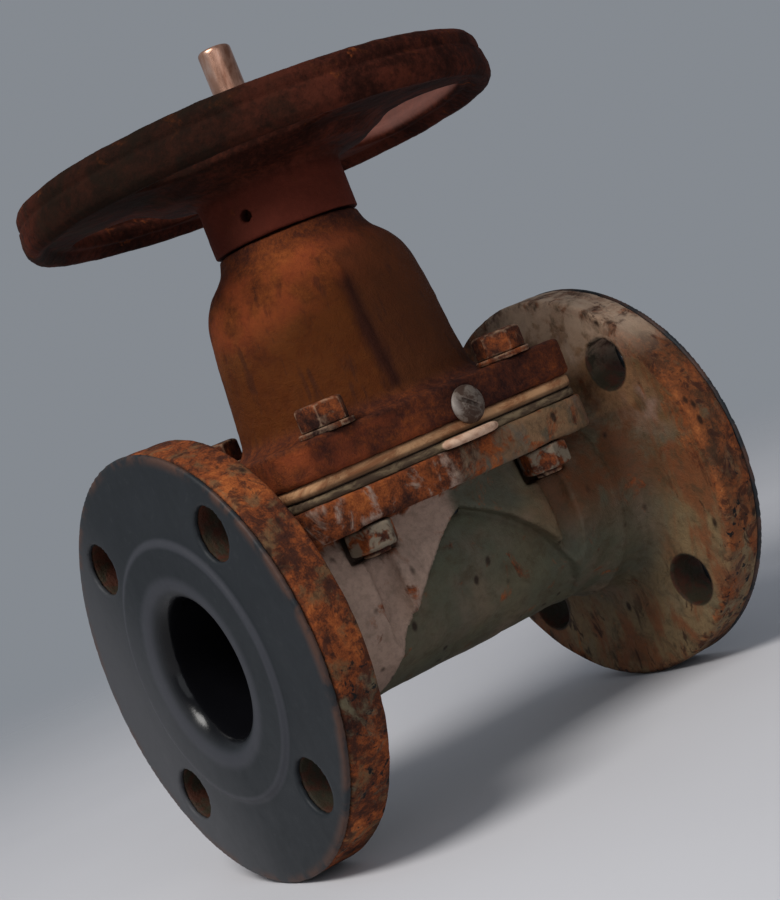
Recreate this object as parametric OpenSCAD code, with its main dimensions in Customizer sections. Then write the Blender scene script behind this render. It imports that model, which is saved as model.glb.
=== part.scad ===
// Lined diaphragm valve with two pipe flanges, a bolted bonnet and a rising spindle.
// Millimetres. Origin: centre of the inlet flange, level with the flat part of its face.
// The raised gasket faces stand proud of the flats at both ends.
// +X runs from the inlet to the outlet, +Z points up along the spindle.

/* [Pipe flanges] */
// Distance between the two lined flange faces
face_to_face = 196.9; // [194:0.1:204]
// Outer diameter of each pipe flange
flange_od = 152.4; // [150:0.1:156]
// Thickness of each iron flange, without its lining
flange_t = 15.9; // [14:0.1:17]
// Bolt circle diameter
bolt_circle_d = 120.65; // [118:0.05:124]
// Bolt hole diameter
bolt_hole_d = 19.05; // [17:0.05:20]
// Diameter of the raised gasket face
raised_face_d = 92.1; // [88:0.1:96]
// Height of the raised gasket face
raised_face_h = 1.2; // [0.8:0.1:1.6]

/* [Body] */
// Diameter of the lined flow bore
bore_d = 48.8; // [46:0.1:49]
// Thickness of the rubber lining
lining_t = 3.2; // [2.8:0.1:3.4]
// Radius of the round bell mouth at each end of the bore
bell_r = 8; // [5:0.5:9]
// Outer diameter of the barrel
barrel_d = 68; // [67:0.5:70]
// Outer diameter of the necks behind the pipe flanges
neck_d = 74; // [72:0.5:76]
// Height of the weir crest above the pipe axis
weir_z = 8.5; // [6:0.5:9]

/* [Bonnet flange] */
// Length of the bonnet flange along the pipe
cover_l = 129; // [126:0.5:131]
// Width of the bonnet flange across the pipe
cover_w = 94; // [93:0.5:98]
// Corner radius of the bonnet flange
cover_r = 11; // [8:0.5:13]
// Thickness of the bonnet flange
cover_t = 13; // [12:0.5:14]
// Thickness of the top flange of the body
seat_t = 12.3; // [11.5:0.1:12.8]
// Height of the underside of the top flange above the pipe axis
seat_z = 25; // [24.5:0.1:25.5]
// Thickness of the diaphragm
diaphragm_t = 5; // [4.5:0.5:6]
// Bolt spacing along the pipe
cover_bolt_x = 80; // [79:0.5:84]
// Bolt spacing across the pipe
cover_bolt_y = 77; // [76:0.5:78]

/* [Handwheel and spindle] */
// Outer diameter of the handwheel
wheel_d = 178; // [160:1:190]
// Height of the handwheel rim
wheel_rim_h = 17; // [13:0.5:19]
// Number of kidney shaped slots in the handwheel web
wheel_slots = 3; // [2:1:4]
// Diameter of the spindle
spindle_d = 12.3; // [10:0.1:13]
// Height of the spindle end above the pipe axis with the valve open
spindle_top = 200.5; // [196:0.5:206]

/* [Hidden] */
$fn = 96;
FACET_FN = 32;
HEX = 6;
EPS = 0.01;
OVER = 1;
FIT = 0.05;
stem_x = face_to_face / 2 - raised_face_h;
far_x = 2 * stem_x;
flange_r = flange_od / 2;
bore_r = bore_d / 2;
spindle_r = spindle_d / 2;
iron_x = lining_t - raised_face_h;
neck_start = iron_x + flange_t;
neck_end = 32.8;
neck_r = neck_d / 2;
barrel_r = barrel_d / 2;
neck_fillet = 6;
weir_r = 60;
well_l = 80;
well_w = 54;
tower_r = 35.5;
tower_offset = 4;
tower_z = 14;
bell_seat_r = bore_r + bell_r + lining_t;
bell_seat_depth = 9;

// Heights of the clamped stack, measured from the pipe axis
pad_z = seat_z + seat_t;
diaphragm_z = pad_z + lining_t;
cover_z = diaphragm_z + diaphragm_t;
cover_top = cover_z + cover_t;
diaphragm_lift = 3;
crown_z = cover_z + diaphragm_lift;

// Fasteners of the bonnet
cover_bolt_r = 4.95;
cover_hole_r = 5.5;
hex_r = 9.24;
bolt_head_h = 8.5;
washer_t = 2;
washer_r = 10;
nut_h = 9;
bolt_stub = 1.5;
spot_face_r = 10.3;
spot_face_depth = 11;

// Bonnet
roof_z = 114;
chamber_floor_z = 128;
chamber_r = 16;
gland_r = 20.5;
gland_top = 146;
bush_r = 9;
guide_in = 30.6;
guide_out = 42;
guide_slot = 10;
guide_t = 4;
guide_top = 113;
grease_r = 2.2;
grease_z = 138;
grease_angle = 212;

// Drive sleeve and its bearing
collar_r = 15.5;
collar_t = 6;
thrust_t = 2;
thrust_r = 15.5;
thrust_gap = 0.3;
axial_gap = 0.05;
sleeve_r = 11;
sleeve_hex_r = 10.9;
sleeve_thread_r = 8.9;
sleeve_top = 164;
seal_section = 0.95;

// Handwheel
wheel_r = wheel_d / 2;
rim_z = 152.5;
rim_t = 7;
web_z = 156;
web_t = 4.5;
web_in_r = 46;
skirt_r = 27;
skirt_in_r = 22;
skirt_z = 129.8;
hub_z = 147.5;
hub_t = 7;
slot_in_r = 48;
slot_margin = 11;
slot_half_angle = 33;
slot_start = -10;
wheel_washer_t = 1.8;
wheel_nut_h = 6.7;
wheel_nut_r = 15.6;

// Compressor
plate_z = crown_z + 0.2;
plate_t = 8;
plate_l = 60;
plate_w = 36;
boss_r = 12.5;
boss_top = 113.5;
arm_z = 84;
arm_t = 10;
arm_l = 68;
arm_w = 9.4;
web_w = 8;
stud_r = 4;
stud_head_r = 8;
stud_head_t = 2.8;
stud_l = 22;
pin_r = 2.5;
pin_z = 90;
spindle_foot = 80;

// Tag button on the bonnet flange and tab of the lining
tag_r = 7;
tag_x = 11;
tag_rise = 3.5;
tag_t = 3.4;
tag_shank_r = 2;
tag_shank_l = 7;
tab_x = 7;
tab_l = 25;
tab_reach = 6;

// ---- Shared shapes ----

// Moves children to the spindle axis
module at_stem() {
  translate([stem_x, 0, 0]) children();
}

// Rectangle l by w with round corners, centred
module round_rect(l, w, r) {
  square([l - 2 * r, w], center = true);
  square([l, w - 2 * r], center = true);
  for (sx = [-1, 1], sy = [-1, 1])
    translate([sx * (l / 2 - r), sy * (w / 2 - r)]) circle(r);
}

// Rectangle with half-round ends, l by w, centred
module stadium(l, w) {
  square([l - w, w], center = true);
  for (s = [-1, 1])
    translate([s * (l - w) / 2, 0]) circle(w / 2);
}

// Cylinder along +X from x0 to x1
module bar_x(x0, x1, r) {
  translate([x0, 0, 0]) rotate([0, 90, 0]) cylinder(h = x1 - x0, r = r);
}

// Ring about Z
module ring(z0, h, r_out, r_in) {
  translate([0, 0, z0])
    difference() {
      cylinder(h = h, r = r_out);
      translate([0, 0, -OVER]) cylinder(h = h + 2 * OVER, r = r_in);
    }
}

// Hexagonal prism with a round hole
module hex_nut(z0, h, r_out, r_in) {
  translate([0, 0, z0])
    difference() {
      cylinder(h = h, r = r_out, $fn = HEX);
      translate([0, 0, -OVER]) cylinder(h = h + 2 * OVER, r = r_in);
    }
}

// O-ring about Z
module o_ring(z, r_mid, r_section) {
  translate([0, 0, z])
    rotate_extrude() translate([r_mid, 0]) circle(r_section, $fn = FACET_FN);
}

// Repeats children at the four bonnet bolts
module at_cover_bolts() {
  at_stem()
    for (sx = [-1, 1], sy = [-1, 1])
      translate([sx * cover_bolt_x / 2, sy * cover_bolt_y / 2, 0]) children();
}

// Holes for the bonnet bolts from z0 to z1
module cover_bolt_holes(z0, z1) {
  at_cover_bolts() translate([0, 0, z0]) cylinder(h = z1 - z0, r = cover_hole_r);
}

// Holes of the pipe flanges, straddling the centre lines
module pipe_bolt_holes(x0, x1) {
  for (a = [45:90:315])
    rotate([a, 0, 0])
      translate([0, bolt_circle_d / 2, 0]) bar_x(x0, x1, bolt_hole_d / 2);
}

// Both mirror halves of something built on the inlet side
module both_ends() {
  children();
  translate([far_x, 0, 0]) mirror([1, 0, 0]) children();
}

// Flow space: bore and oval well, less the weir; grown outwards by the given amount
module flow_space(grow) {
  difference() {
    union() {
      bar_x(-raised_face_h - OVER, far_x + raised_face_h + OVER, bore_r + grow);
      at_stem()
        linear_extrude(height = diaphragm_z + OVER)
          stadium(well_l + 2 * grow, well_w + 2 * grow);
    }
    translate([stem_x, 0, weir_z - weir_r])
      rotate([90, 0, 0]) cylinder(h = well_w + 20, r = weir_r - grow, center = true);
  }
}

// Bell mouth cut at the inlet end of the bore
module bell_mouth() {
  translate([-raised_face_h, 0, 0])
    rotate([0, 90, 0])
      rotate_extrude()
        difference() {
          translate([0, -OVER]) square([bore_r + bell_r, bell_r + OVER]);
          translate([bore_r + bell_r, bell_r]) circle(bell_r);
        }
}

// ---- Body ----

module body_casting() {
  color("#b7ae93")
    difference() {
      union() {
        bar_x(iron_x, far_x - iron_x, barrel_r);
        both_ends() {
          bar_x(iron_x, neck_start, flange_r);
          bar_x(neck_start - OVER, neck_end, neck_r);
          translate([neck_start, 0, 0])
            rotate([0, 90, 0])
              cylinder(h = neck_fillet, r1 = neck_r + neck_fillet, r2 = neck_r);
          body_shoulder();
        }
        at_stem()
          translate([0, 0, seat_z])
            linear_extrude(height = seat_t) round_rect(cover_l, cover_w, cover_r);
      }
      flow_space(lining_t);
      both_ends() bar_x(0, iron_x + bell_seat_depth, bell_seat_r);
      pipe_bolt_holes(0, neck_start + neck_fillet);
      pipe_bolt_holes(far_x - neck_start - neck_fillet, far_x);
      cover_bolt_holes(0, pad_z + OVER);
      at_cover_bolts()
        translate([0, 0, seat_z - spot_face_depth]) cylinder(h = spot_face_depth, r = spot_face_r);
    }
}

// Sloping shoulder that carries the passage from a pipe neck up to the top flange
module body_shoulder() {
  hull() {
    translate([neck_start, 0, 0])
      rotate([0, 90, 0]) cylinder(h = neck_end - neck_start, r = neck_r, $fn = 2 * FACET_FN);
    translate([stem_x - tower_offset, 0, tower_z])
      cylinder(h = seat_z - tower_z + OVER, r = tower_r, $fn = 2 * FACET_FN);
  }
}

module body_lining() {
  color("#4a5560")
    difference() {
      union() {
        intersection() {
          flow_space(lining_t);
          bar_x(iron_x, far_x - iron_x, flange_r);
        }
        both_ends() {
          bar_x(0, iron_x, flange_r);
          bar_x(-raised_face_h, EPS, raised_face_d / 2);
          bar_x(iron_x - EPS, iron_x + bell_seat_depth, bell_seat_r);
        }
        at_stem()
          translate([0, 0, pad_z])
            linear_extrude(height = lining_t) round_rect(cover_l - 2, cover_w - 2, cover_r - 1);
        lining_tab();
      }
      flow_space(0);
      both_ends() bell_mouth();
      pipe_bolt_holes(-OVER, iron_x + EPS);
      pipe_bolt_holes(far_x - iron_x - EPS, far_x + OVER);
      cover_bolt_holes(pad_z - OVER, diaphragm_z + OVER);
    }
}

// Half-oval pull tab on the front edge of the lining pad
module lining_tab() {
  translate([stem_x + tab_x, -cover_w / 2, pad_z])
    scale([tab_l / 2, tab_reach, 1])
      difference() {
        cylinder(h = lining_t, r = 1, $fn = 2 * FACET_FN);
        translate([-1, 0.4, -OVER]) cube([2, 1, lining_t + 2 * OVER]);
      }
}

// ---- Diaphragm ----

module diaphragm() {
  color("#c9a77c")
    difference() {
      union() {
        at_stem()
          translate([0, 0, diaphragm_z])
            linear_extrude(height = diaphragm_t) round_rect(cover_l - 1, cover_w - 1, cover_r);
        at_stem()
          translate([0, 0, cover_z - EPS])
            linear_extrude(height = diaphragm_lift + EPS) stadium(66, 42);
      }
      at_stem()
        translate([0, 0, diaphragm_z - OVER])
          linear_extrude(height = diaphragm_lift + OVER) stadium(70, 46);
      at_stem()
        translate([0, 0, crown_z - 3]) cylinder(h = 3 + OVER, r = stud_head_r + thrust_gap);
      cover_bolt_holes(diaphragm_z - OVER, cover_z + OVER);
    }
}

// Frame of the tag button: its origin is on the edge of the bonnet flange, +Z runs inwards
module tag_frame() {
  translate([stem_x + tag_x, -cover_w / 2, cover_z + tag_rise])
    rotate([-90, 0, 0]) children();
}

module diaphragm_tag() {
  color("#8f8d86")
    tag_frame()
      difference() {
        union() {
          translate([0, 0, -tag_t]) cylinder(h = tag_t, r = tag_r);
          cylinder(h = tag_shank_l, r = tag_shank_r);
        }
        translate([0, 0, -tag_t])
          rotate_extrude()
            difference() {
              square([tag_r + OVER, 2]);
              translate([0, 14.1]) circle(14.1);
            }
      }
}

module diaphragm_stud() {
  color("#b08d4f")
    at_stem() {
      translate([0, 0, crown_z - stud_head_t]) cylinder(h = stud_head_t, r = stud_head_r);
      translate([0, 0, crown_z - EPS]) cylinder(h = stud_l, r = stud_r);
    }
}

// ---- Bonnet ----

// One oval ring of a lofted wall: z, half length along X, half width along Y
function oval(z, a, b, n) = [for (i = [0:n - 1]) [a * cos(360 * i / n), b * sin(360 * i / n), z]];

// Solid lofted through oval rings given as [z, a, b]
module loft(levels, n) {
  count = len(levels);
  points = [for (l = levels) each oval(l[0], l[1], l[2], n)];
  sides = [
    for (k = [0:count - 2], i = [0:n - 1])
      [k * n + i, (k + 1) * n + i, (k + 1) * n + (i + 1) % n, k * n + (i + 1) % n]
  ];
  bottom = [for (i = [0:n - 1]) i];
  top = [for (i = [0:n - 1]) count * n - 1 - i];
  polyhedron(points = points, faces = concat([bottom], sides, [top]), convexity = 4);
}

// Outside of the dome: a tall oval wall that closes in to the round neck
dome_outside = [
  [cover_top - 1, 48.5, 42], [cover_top + 1.5, 47, 40], [cover_top + 5, 46, 38.8],
  [75, 44.7, 37.4], [90, 43.4, 36.2], [100, 42.2, 35.2], [107, 40.8, 34], [112, 39, 32.6],
  [116.5, 35.8, 31], [120.5, 31, 28.6], [124, 27.8, 27.2], [127, 26.8, 26.7], [129, 26.5, 26.5]
];

// Inside of the dome
dome_inside = [
  [cover_z - OVER, 41, 34], [75, 38.6, 31.4], [95, 37, 30], [104, 34, 28.4], [110, 29.5, 26], [roof_z, 24, 22]
];

module bonnet() {
  color("#9a4f2a")
    difference() {
      union() {
        difference() {
          union() {
            at_stem()
              translate([0, 0, cover_z])
                linear_extrude(height = cover_t) round_rect(cover_l, cover_w, cover_r);
            at_stem() loft(dome_outside, 48);
            at_stem() translate([0, 0, chamber_floor_z - 4]) cylinder(h = gland_top - chamber_floor_z + 4, r = gland_r);
          }
          at_stem() loft(dome_inside, 48);
        }
        bonnet_guides();
      }
      at_stem() translate([0, 0, roof_z - 3]) cylinder(h = chamber_floor_z - roof_z + 4, r = bush_r);
      at_stem() translate([0, 0, chamber_floor_z]) cylinder(h = gland_top - chamber_floor_z + OVER, r = chamber_r);
      grease_hole(chamber_r - 1, gland_r + 1);
      cover_bolt_holes(cover_z - OVER, cover_top + OVER);
      tag_frame() translate([0, 0, -OVER]) cylinder(h = tag_shank_l + OVER + FIT, r = tag_shank_r);
    }
}

// Pairs of upright ribs that keep the compressor from turning
module bonnet_guides() {
  at_stem()
    for (sx = [-1, 1], sy = [-1, 1])
      intersection() {
        translate([sx > 0 ? guide_in : -guide_out, sy > 0 ? guide_slot / 2 : -guide_slot / 2 - guide_t, cover_z + 1])
          cube([guide_out - guide_in, guide_t, guide_top - cover_z]);
        loft(dome_outside, 48);
      }
}

// Radial hole at the height of the thrust bearing
module grease_hole(r0, r1) {
  at_stem()
    rotate([0, 0, grease_angle])
      translate([r0, 0, grease_z]) rotate([0, 90, 0]) cylinder(h = r1 - r0, r = grease_r);
}

module bonnet_bolts() {
  color("#7a4a30")
    at_cover_bolts() {
      translate([0, 0, cover_top + washer_t]) cylinder(h = bolt_head_h, r = hex_r, $fn = HEX);
      translate([0, 0, seat_z - nut_h - bolt_stub])
        cylinder(h = cover_top + washer_t - seat_z + nut_h + bolt_stub + EPS, r = cover_bolt_r);
    }
}

module bolt_washers() {
  color("#6b4530")
    at_cover_bolts() ring(cover_top, washer_t, washer_r, cover_hole_r);
}

module bonnet_nuts() {
  color("#a08868")
    at_cover_bolts() hex_nut(seat_z - nut_h, nut_h, hex_r, cover_bolt_r + FIT);
}

// ---- Spindle guide and bearing ----

module spindle_bush() {
  color("#b08d4f")
    at_stem()
      difference() {
        translate([0, 0, roof_z]) cylinder(h = chamber_floor_z - roof_z, r = bush_r);
        translate([0, 0, roof_z - OVER]) cylinder(h = chamber_floor_z - roof_z + 2 * OVER, r = spindle_r + FIT);
        ring(120, 2.4, spindle_r + 2.1, spindle_r);
      }
}

module spindle_seal() {
  color("#2b2b2b") at_stem() o_ring(121.2, spindle_r + 0.15 + seal_section, seal_section);
}

module lower_thrust_washer() {
  color("#b08d4f")
    at_stem() ring(chamber_floor_z, thrust_t, thrust_r, spindle_r + 3);
}

module upper_thrust_washer() {
  color("#b08d4f")
    at_stem() ring(chamber_floor_z + thrust_t + collar_t, thrust_t, thrust_r, sleeve_r + thrust_gap);
}

retainer_z = chamber_floor_z + 2 * thrust_t + collar_t;

module bearing_retainer() {
  color("#8a8f94")
    at_stem()
      difference() {
        translate([0, 0, retainer_z]) cylinder(h = gland_top - retainer_z, r = chamber_r);
        translate([0, 0, retainer_z - OVER])
          cylinder(h = gland_top - retainer_z + 2 * OVER, r = sleeve_r + FIT);
        ring(141, 2.4, sleeve_r + 2.1, sleeve_r);
        for (a = [0, 180])
          rotate([0, 0, a]) translate([13.4, -2, gland_top - 2]) cube([4, 4, 3]);
      }
}

module sleeve_seal() {
  color("#2b2b2b") at_stem() o_ring(142.2, sleeve_r + 0.15 + seal_section, seal_section);
}

module drive_sleeve() {
  collar_z = chamber_floor_z + thrust_t + axial_gap;
  color("#b99a58")
    at_stem()
      difference() {
        union() {
          translate([0, 0, collar_z]) cylinder(h = collar_t - 2 * axial_gap, r = collar_r);
          translate([0, 0, collar_z]) cylinder(h = hub_z - collar_z, r = sleeve_r);
          translate([0, 0, hub_z - EPS]) cylinder(h = hub_t + EPS, r = sleeve_hex_r, $fn = HEX);
          translate([0, 0, hub_z]) cylinder(h = sleeve_top - hub_z, r = sleeve_thread_r);
        }
        translate([0, 0, chamber_floor_z]) cylinder(h = sleeve_top, r = spindle_r + FIT);
      }
}

// ---- Handwheel ----

// Half section of the handwheel, from the skirt out to the rolled rim
module wheel_section() {
  rim_top = rim_z + wheel_rim_h;
  polygon([
    [skirt_in_r, skirt_z], [skirt_r, skirt_z], [skirt_r, hub_z + 2], [web_in_r - 6, web_z - 4],
    [web_in_r, web_z], [wheel_r - rim_t, web_z], [wheel_r - rim_t + 1, rim_z + 1.5],
    [wheel_r - rim_t + 3, rim_z], [wheel_r - 2, rim_z], [wheel_r - 0.3, rim_z + 2],
    [wheel_r, rim_z + 5], [wheel_r - 0.6, rim_z + 9.5], [wheel_r - 1.6, rim_z + 10.2],
    [wheel_r - 1.6, rim_z + 11], [wheel_r - 1.3, rim_z + 11.8], [wheel_r - 2.2, rim_top - 1.8],
    [wheel_r - 4, rim_top], [wheel_r - 6.5, rim_top - 0.6], [wheel_r - rim_t - 1, rim_top - 3],
    [wheel_r - rim_t - 2, web_z + web_t], [web_in_r, web_z + web_t],
    [skirt_r + 4, hub_z + hub_t], [0, hub_z + hub_t], [0, hub_z], [skirt_in_r, hub_z]
  ]);
}

// Kidney shaped slot between the hub and the rim, with round ends
module wheel_slot() {
  slot_out_r = wheel_r - slot_margin;
  mid_r = (slot_in_r + slot_out_r) / 2;
  end_r = (slot_out_r - slot_in_r) / 2;
  half_angle = slot_half_angle - asin(end_r / mid_r);
  rotate([0, 0, -half_angle])
    rotate_extrude(angle = 2 * half_angle)
      translate([slot_in_r, web_z - 3]) square([slot_out_r - slot_in_r, 20]);
  for (a = [-half_angle, half_angle])
    rotate([0, 0, a]) translate([mid_r, 0, web_z - 3]) cylinder(h = 20, r = end_r);
}

module handwheel() {
  color("#5c2b20")
    difference() {
      at_stem() rotate_extrude() wheel_section();
      at_stem()
        translate([0, 0, hub_z - OVER]) cylinder(h = hub_t + 2 * OVER, r = sleeve_hex_r + 0.1, $fn = HEX);
      at_stem()
        for (k = [0:wheel_slots - 1])
          rotate([0, 0, slot_start + 360 * k / wheel_slots]) wheel_slot();
      grease_hole(skirt_in_r - 1, skirt_r + 1);
    }
}

module wheel_washer() {
  color("#7d6a58")
    at_stem() ring(hub_z + hub_t, wheel_washer_t, 15, sleeve_thread_r + thrust_gap);
}

module wheel_nut() {
  color("#7d6a58")
    at_stem() hex_nut(hub_z + hub_t + wheel_washer_t, wheel_nut_h, wheel_nut_r, sleeve_thread_r + FIT);
}

// ---- Spindle and compressor ----

module spindle() {
  color("#c08a6a")
    at_stem()
      difference() {
        translate([0, 0, spindle_foot]) cylinder(h = spindle_top - spindle_foot, r = spindle_r);
        cross_pin_hole(boss_r + OVER);
      }
}

// Hole for the cross pin, along Y
module cross_pin_hole(reach) {
  translate([0, 0, pin_z]) rotate([90, 0, 0]) cylinder(h = 2 * reach, r = pin_r, center = true);
}

module compressor() {
  color("#6f7072")
    at_stem()
      difference() {
        union() {
          translate([0, 0, plate_z]) linear_extrude(height = plate_t) stadium(plate_l, plate_w);
          translate([0, 0, plate_z]) cylinder(h = boss_top - plate_z, r = boss_r);
          translate([0, web_w / 2, 0]) rotate([90, 0, 0]) linear_extrude(height = web_w) web_outline();
          translate([-arm_l / 2, -arm_w / 2, arm_z]) cube([arm_l, arm_w, arm_t]);
        }
        translate([0, 0, spindle_foot - 1]) cylinder(h = boss_top, r = spindle_r + FIT);
        translate([0, 0, plate_z - OVER]) cylinder(h = stud_l + OVER + 0.5, r = stud_r + FIT);
        cross_pin_hole(boss_r + OVER);
      }
}

// Side outline of the stiffening web of the compressor
module web_outline() {
  foot = plate_l / 2 - 3;
  polygon([
    [-foot, plate_z + plate_t - EPS], [foot, plate_z + plate_t - EPS],
    [boss_r, arm_z], [-boss_r, arm_z]
  ]);
}

module compressor_pin() {
  color("#9aa0a6")
    at_stem()
      translate([0, 0, pin_z]) rotate([90, 0, 0]) cylinder(h = 2 * boss_r - 1, r = pin_r - 0.02, center = true);
}

body_casting();
body_lining();
diaphragm();
diaphragm_tag();
diaphragm_stud();
bonnet();
bonnet_bolts();
bolt_washers();
bonnet_nuts();
spindle_bush();
spindle_seal();
lower_thrust_washer();
upper_thrust_washer();
bearing_retainer();
sleeve_seal();
drive_sleeve();
handwheel();
wheel_washer();
wheel_nut();
spindle();
compressor();
compressor_pin();
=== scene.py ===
"""Looks of the lined diaphragm valve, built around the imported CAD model.

The visible castings are meshed from signed distance fields, in millimetres in the CAD frame.
"""

import math

import bpy
import numpy as np
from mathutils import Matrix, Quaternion, Vector


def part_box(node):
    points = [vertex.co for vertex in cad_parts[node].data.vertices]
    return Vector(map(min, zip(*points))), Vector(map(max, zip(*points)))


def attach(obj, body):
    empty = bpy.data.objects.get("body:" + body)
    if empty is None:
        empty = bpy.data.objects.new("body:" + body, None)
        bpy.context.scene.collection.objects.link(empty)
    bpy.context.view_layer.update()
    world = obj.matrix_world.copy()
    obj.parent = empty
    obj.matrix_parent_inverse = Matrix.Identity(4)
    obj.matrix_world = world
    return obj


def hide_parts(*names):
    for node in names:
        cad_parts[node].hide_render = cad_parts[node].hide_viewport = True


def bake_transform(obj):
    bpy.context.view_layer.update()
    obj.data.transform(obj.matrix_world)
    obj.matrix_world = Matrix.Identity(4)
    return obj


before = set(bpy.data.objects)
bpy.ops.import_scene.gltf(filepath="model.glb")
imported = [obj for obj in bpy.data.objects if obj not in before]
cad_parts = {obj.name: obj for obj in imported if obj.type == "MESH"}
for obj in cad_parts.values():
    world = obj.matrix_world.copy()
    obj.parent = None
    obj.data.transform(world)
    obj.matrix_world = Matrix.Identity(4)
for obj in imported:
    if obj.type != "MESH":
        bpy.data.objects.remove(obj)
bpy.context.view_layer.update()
MM = 0.001


def cad(node):
    """Lowest and highest corner of a CAD node, in millimetres."""
    low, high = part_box(node)
    return np.array(low) / MM, np.array(high) / MM


# ---- Sizes, in millimetres in the CAD frame: pipe axis on X, spindle on Z ----

FACE_LOW, FACE_HIGH = cad("body_lining")[0][0], cad("body_lining")[1][0]
STEM = (FACE_LOW + FACE_HIGH) / 2
HALF = (FACE_HIGH - FACE_LOW) / 2
FLANGE_R = cad("body_casting")[1][1]
LINING = cad("body_casting")[0][0] - FACE_LOW
DIAPHRAGM_Z = cad("diaphragm")[0][2]
PAD_Z = DIAPHRAGM_Z - LINING
COVER_Z = cad("bonnet")[0][2]
COVER_HALF_X = cad("bonnet")[1][0] - STEM
COVER_HALF_Y = cad("bonnet")[1][1]
GLAND_TOP = cad("bonnet")[1][2]
WASHER_Z, HEAD_Z = cad("bolt_washers")[0][2], cad("bolt_washers")[1][2]
HEAD_TOP = cad("bonnet_bolts")[1][2]
STUB_Z = cad("bonnet_bolts")[0][2]
NUT_Z, SEAT_Z = cad("bonnet_nuts")[0][2], cad("bonnet_nuts")[1][2]
WHEEL_R = cad("handwheel")[1][1]
SKIRT_Z, RIM_TOP = cad("handwheel")[0][2], cad("handwheel")[1][2]
WHEEL_NUT_Z, WHEEL_NUT_TOP = cad("wheel_nut")[0][2], cad("wheel_nut")[1][2]
WHEEL_WASHER_Z = cad("wheel_washer")[0][2]
SPINDLE_FOOT, SPINDLE_TOP = cad("spindle")[0][2], cad("spindle")[1][2]
SPINDLE_R = cad("spindle")[1][1]
TAG_LOW, TAG_HIGH = cad("diaphragm_tag")

IRON_T = 15.9
BORE_R = 24.4
BELL_R = 8.0
RAISED_R = 46.05
RAISED_H = 1.2
PIPE_HOLE_R = 9.525
PIPE_HOLE_AT = 60.325
NECK_R = 37.0
NECK_END = 34.0
BARREL_R = 34.0
CORNER_R = 11.0
BOLT_X, BOLT_Y = 40.0, 38.5
BOLT_R = 4.95
BOLT_HOLE_R = 5.5
HEX_FLAT = 8.0
WEIR_Z, WEIR_R = 8.5, 60.0
WELL_L, WELL_W = 80.0, 54.0
TOWER_R, TOWER_X, TOWER_LOW, TOWER_TOP = 35.5, 4.0, 14.0, SEAT_Z + 1.0
SPOT_R, SPOT_Z = 10.3, SEAT_Z - 11.0
RECESS_AT, RECESS_R, RECESS_Y, RECESS_LOW = (35.7, 62.9), 88.0, 33.2, 29.8
TAB_X, TAB_HALF, TAB_REACH = STEM + 7.0, 12.5, 6.0
GREASE_ANGLE = math.radians(212)
GREASE_Z, GREASE_R = 138.0, 2.2
WASHER_R = 10.0
GLAND_R, BEARING_R, BUSH_R, GLAND_FLOOR = 20.5, 16.0, 9.0, 128.0
RIB_X, RIB_Y = (31.5, 42), (5, 9)
SLOT_IN, SLOT_OUT, SLOT_HALF, SLOT_TURN = 48.0, WHEEL_R - 11, math.radians(33), -10
WHEEL_BORE_R = 11.0
HUB_NUT_FLAT, HUB_NUT_BORE = 13.5, 8.95
HUB_WASHER_R, HUB_WASHER_BORE = 15.0, 9.2


# ---- Signed distances ----


def smin(a, b, k):
    """Smooth union: the join is filleted over about k."""
    h = np.clip(0.5 + 0.5 * (b - a) / k, 0, 1)
    return b + (a - b) * h - k * h * (1 - h)


def smax(a, b, k):
    """Smooth intersection."""
    return -smin(-a, -b, k)


def both(a, b, r):
    """Inside both a and b, with an edge of radius r."""
    return (
        np.minimum(np.maximum(a, b) + r, 0)
        + np.hypot(np.maximum(a + r, 0), np.maximum(b + r, 0))
        - r
    )


def slab(z, low, high):
    return np.abs(z - (low + high) / 2) - (high - low) / 2


def stadium(x, y, length, width):
    return np.hypot(np.maximum(np.abs(x) - (length - width) / 2, 0), y) - width / 2


def hexagon(x, y, flat, turn=0.0):
    """Distance to a hexagon whose flats are this far from its centre."""
    sides = [turn + math.pi * k / 3 for k in range(6)]
    return np.maximum.reduce([x * math.cos(a) + y * math.sin(a) for a in sides]) - flat


def hash_noise(p, size, seed):
    """Smooth noise from -1 to 1 with features of about this size."""
    q = p / size
    cell = np.floor(q).astype(np.int64)
    f = q - cell
    f = f * f * (3 - 2 * f)
    total = 0
    for corner in range(8):
        o = np.array([corner & 1, corner >> 1 & 1, corner >> 2 & 1])
        c = cell + o
        h = c[:, 0] * 73856093 ^ c[:, 1] * 19349663 ^ c[:, 2] * 83492791 ^ seed * 2654435761
        h = (h ^ h >> 13) * 1274126177 & 0xFFFFFFFF
        h = (h ^ h >> 16) & 0xFFFF
        weight = np.prod(np.where(o, f, 1 - f), axis=1)
        total = total + weight * (h / 32767.5 - 1)
    return total


# ---- From distance field to mesh ----


def half_axis(low, high, step, centre):
    """Sample places along one axis, and whether they are the upper half of a mirrored pair."""
    if centre is None:
        return low + step * np.arange(int(math.ceil((high - low) / step)) + 1), False
    return centre + step * (np.arange(int(math.ceil((high - centre) / step)) + 1) + 0.5), True


def sample(field, low, high, step, centres):
    axes, folds = zip(*[half_axis(low[i], high[i], step, centres[i]) for i in range(3)])
    x, y, z = np.meshgrid(*axes, indexing="ij", sparse=True)
    values = np.broadcast_to(field(x, y, z), [len(a) for a in axes]).astype(np.float32)
    start = []
    for i in range(3):
        if folds[i]:
            values = np.concatenate([np.flip(values, i), values], i)
            start.append(2 * centres[i] - axes[i][-1])
        else:
            start.append(axes[i][0])
    return values, np.array(start)


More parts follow.
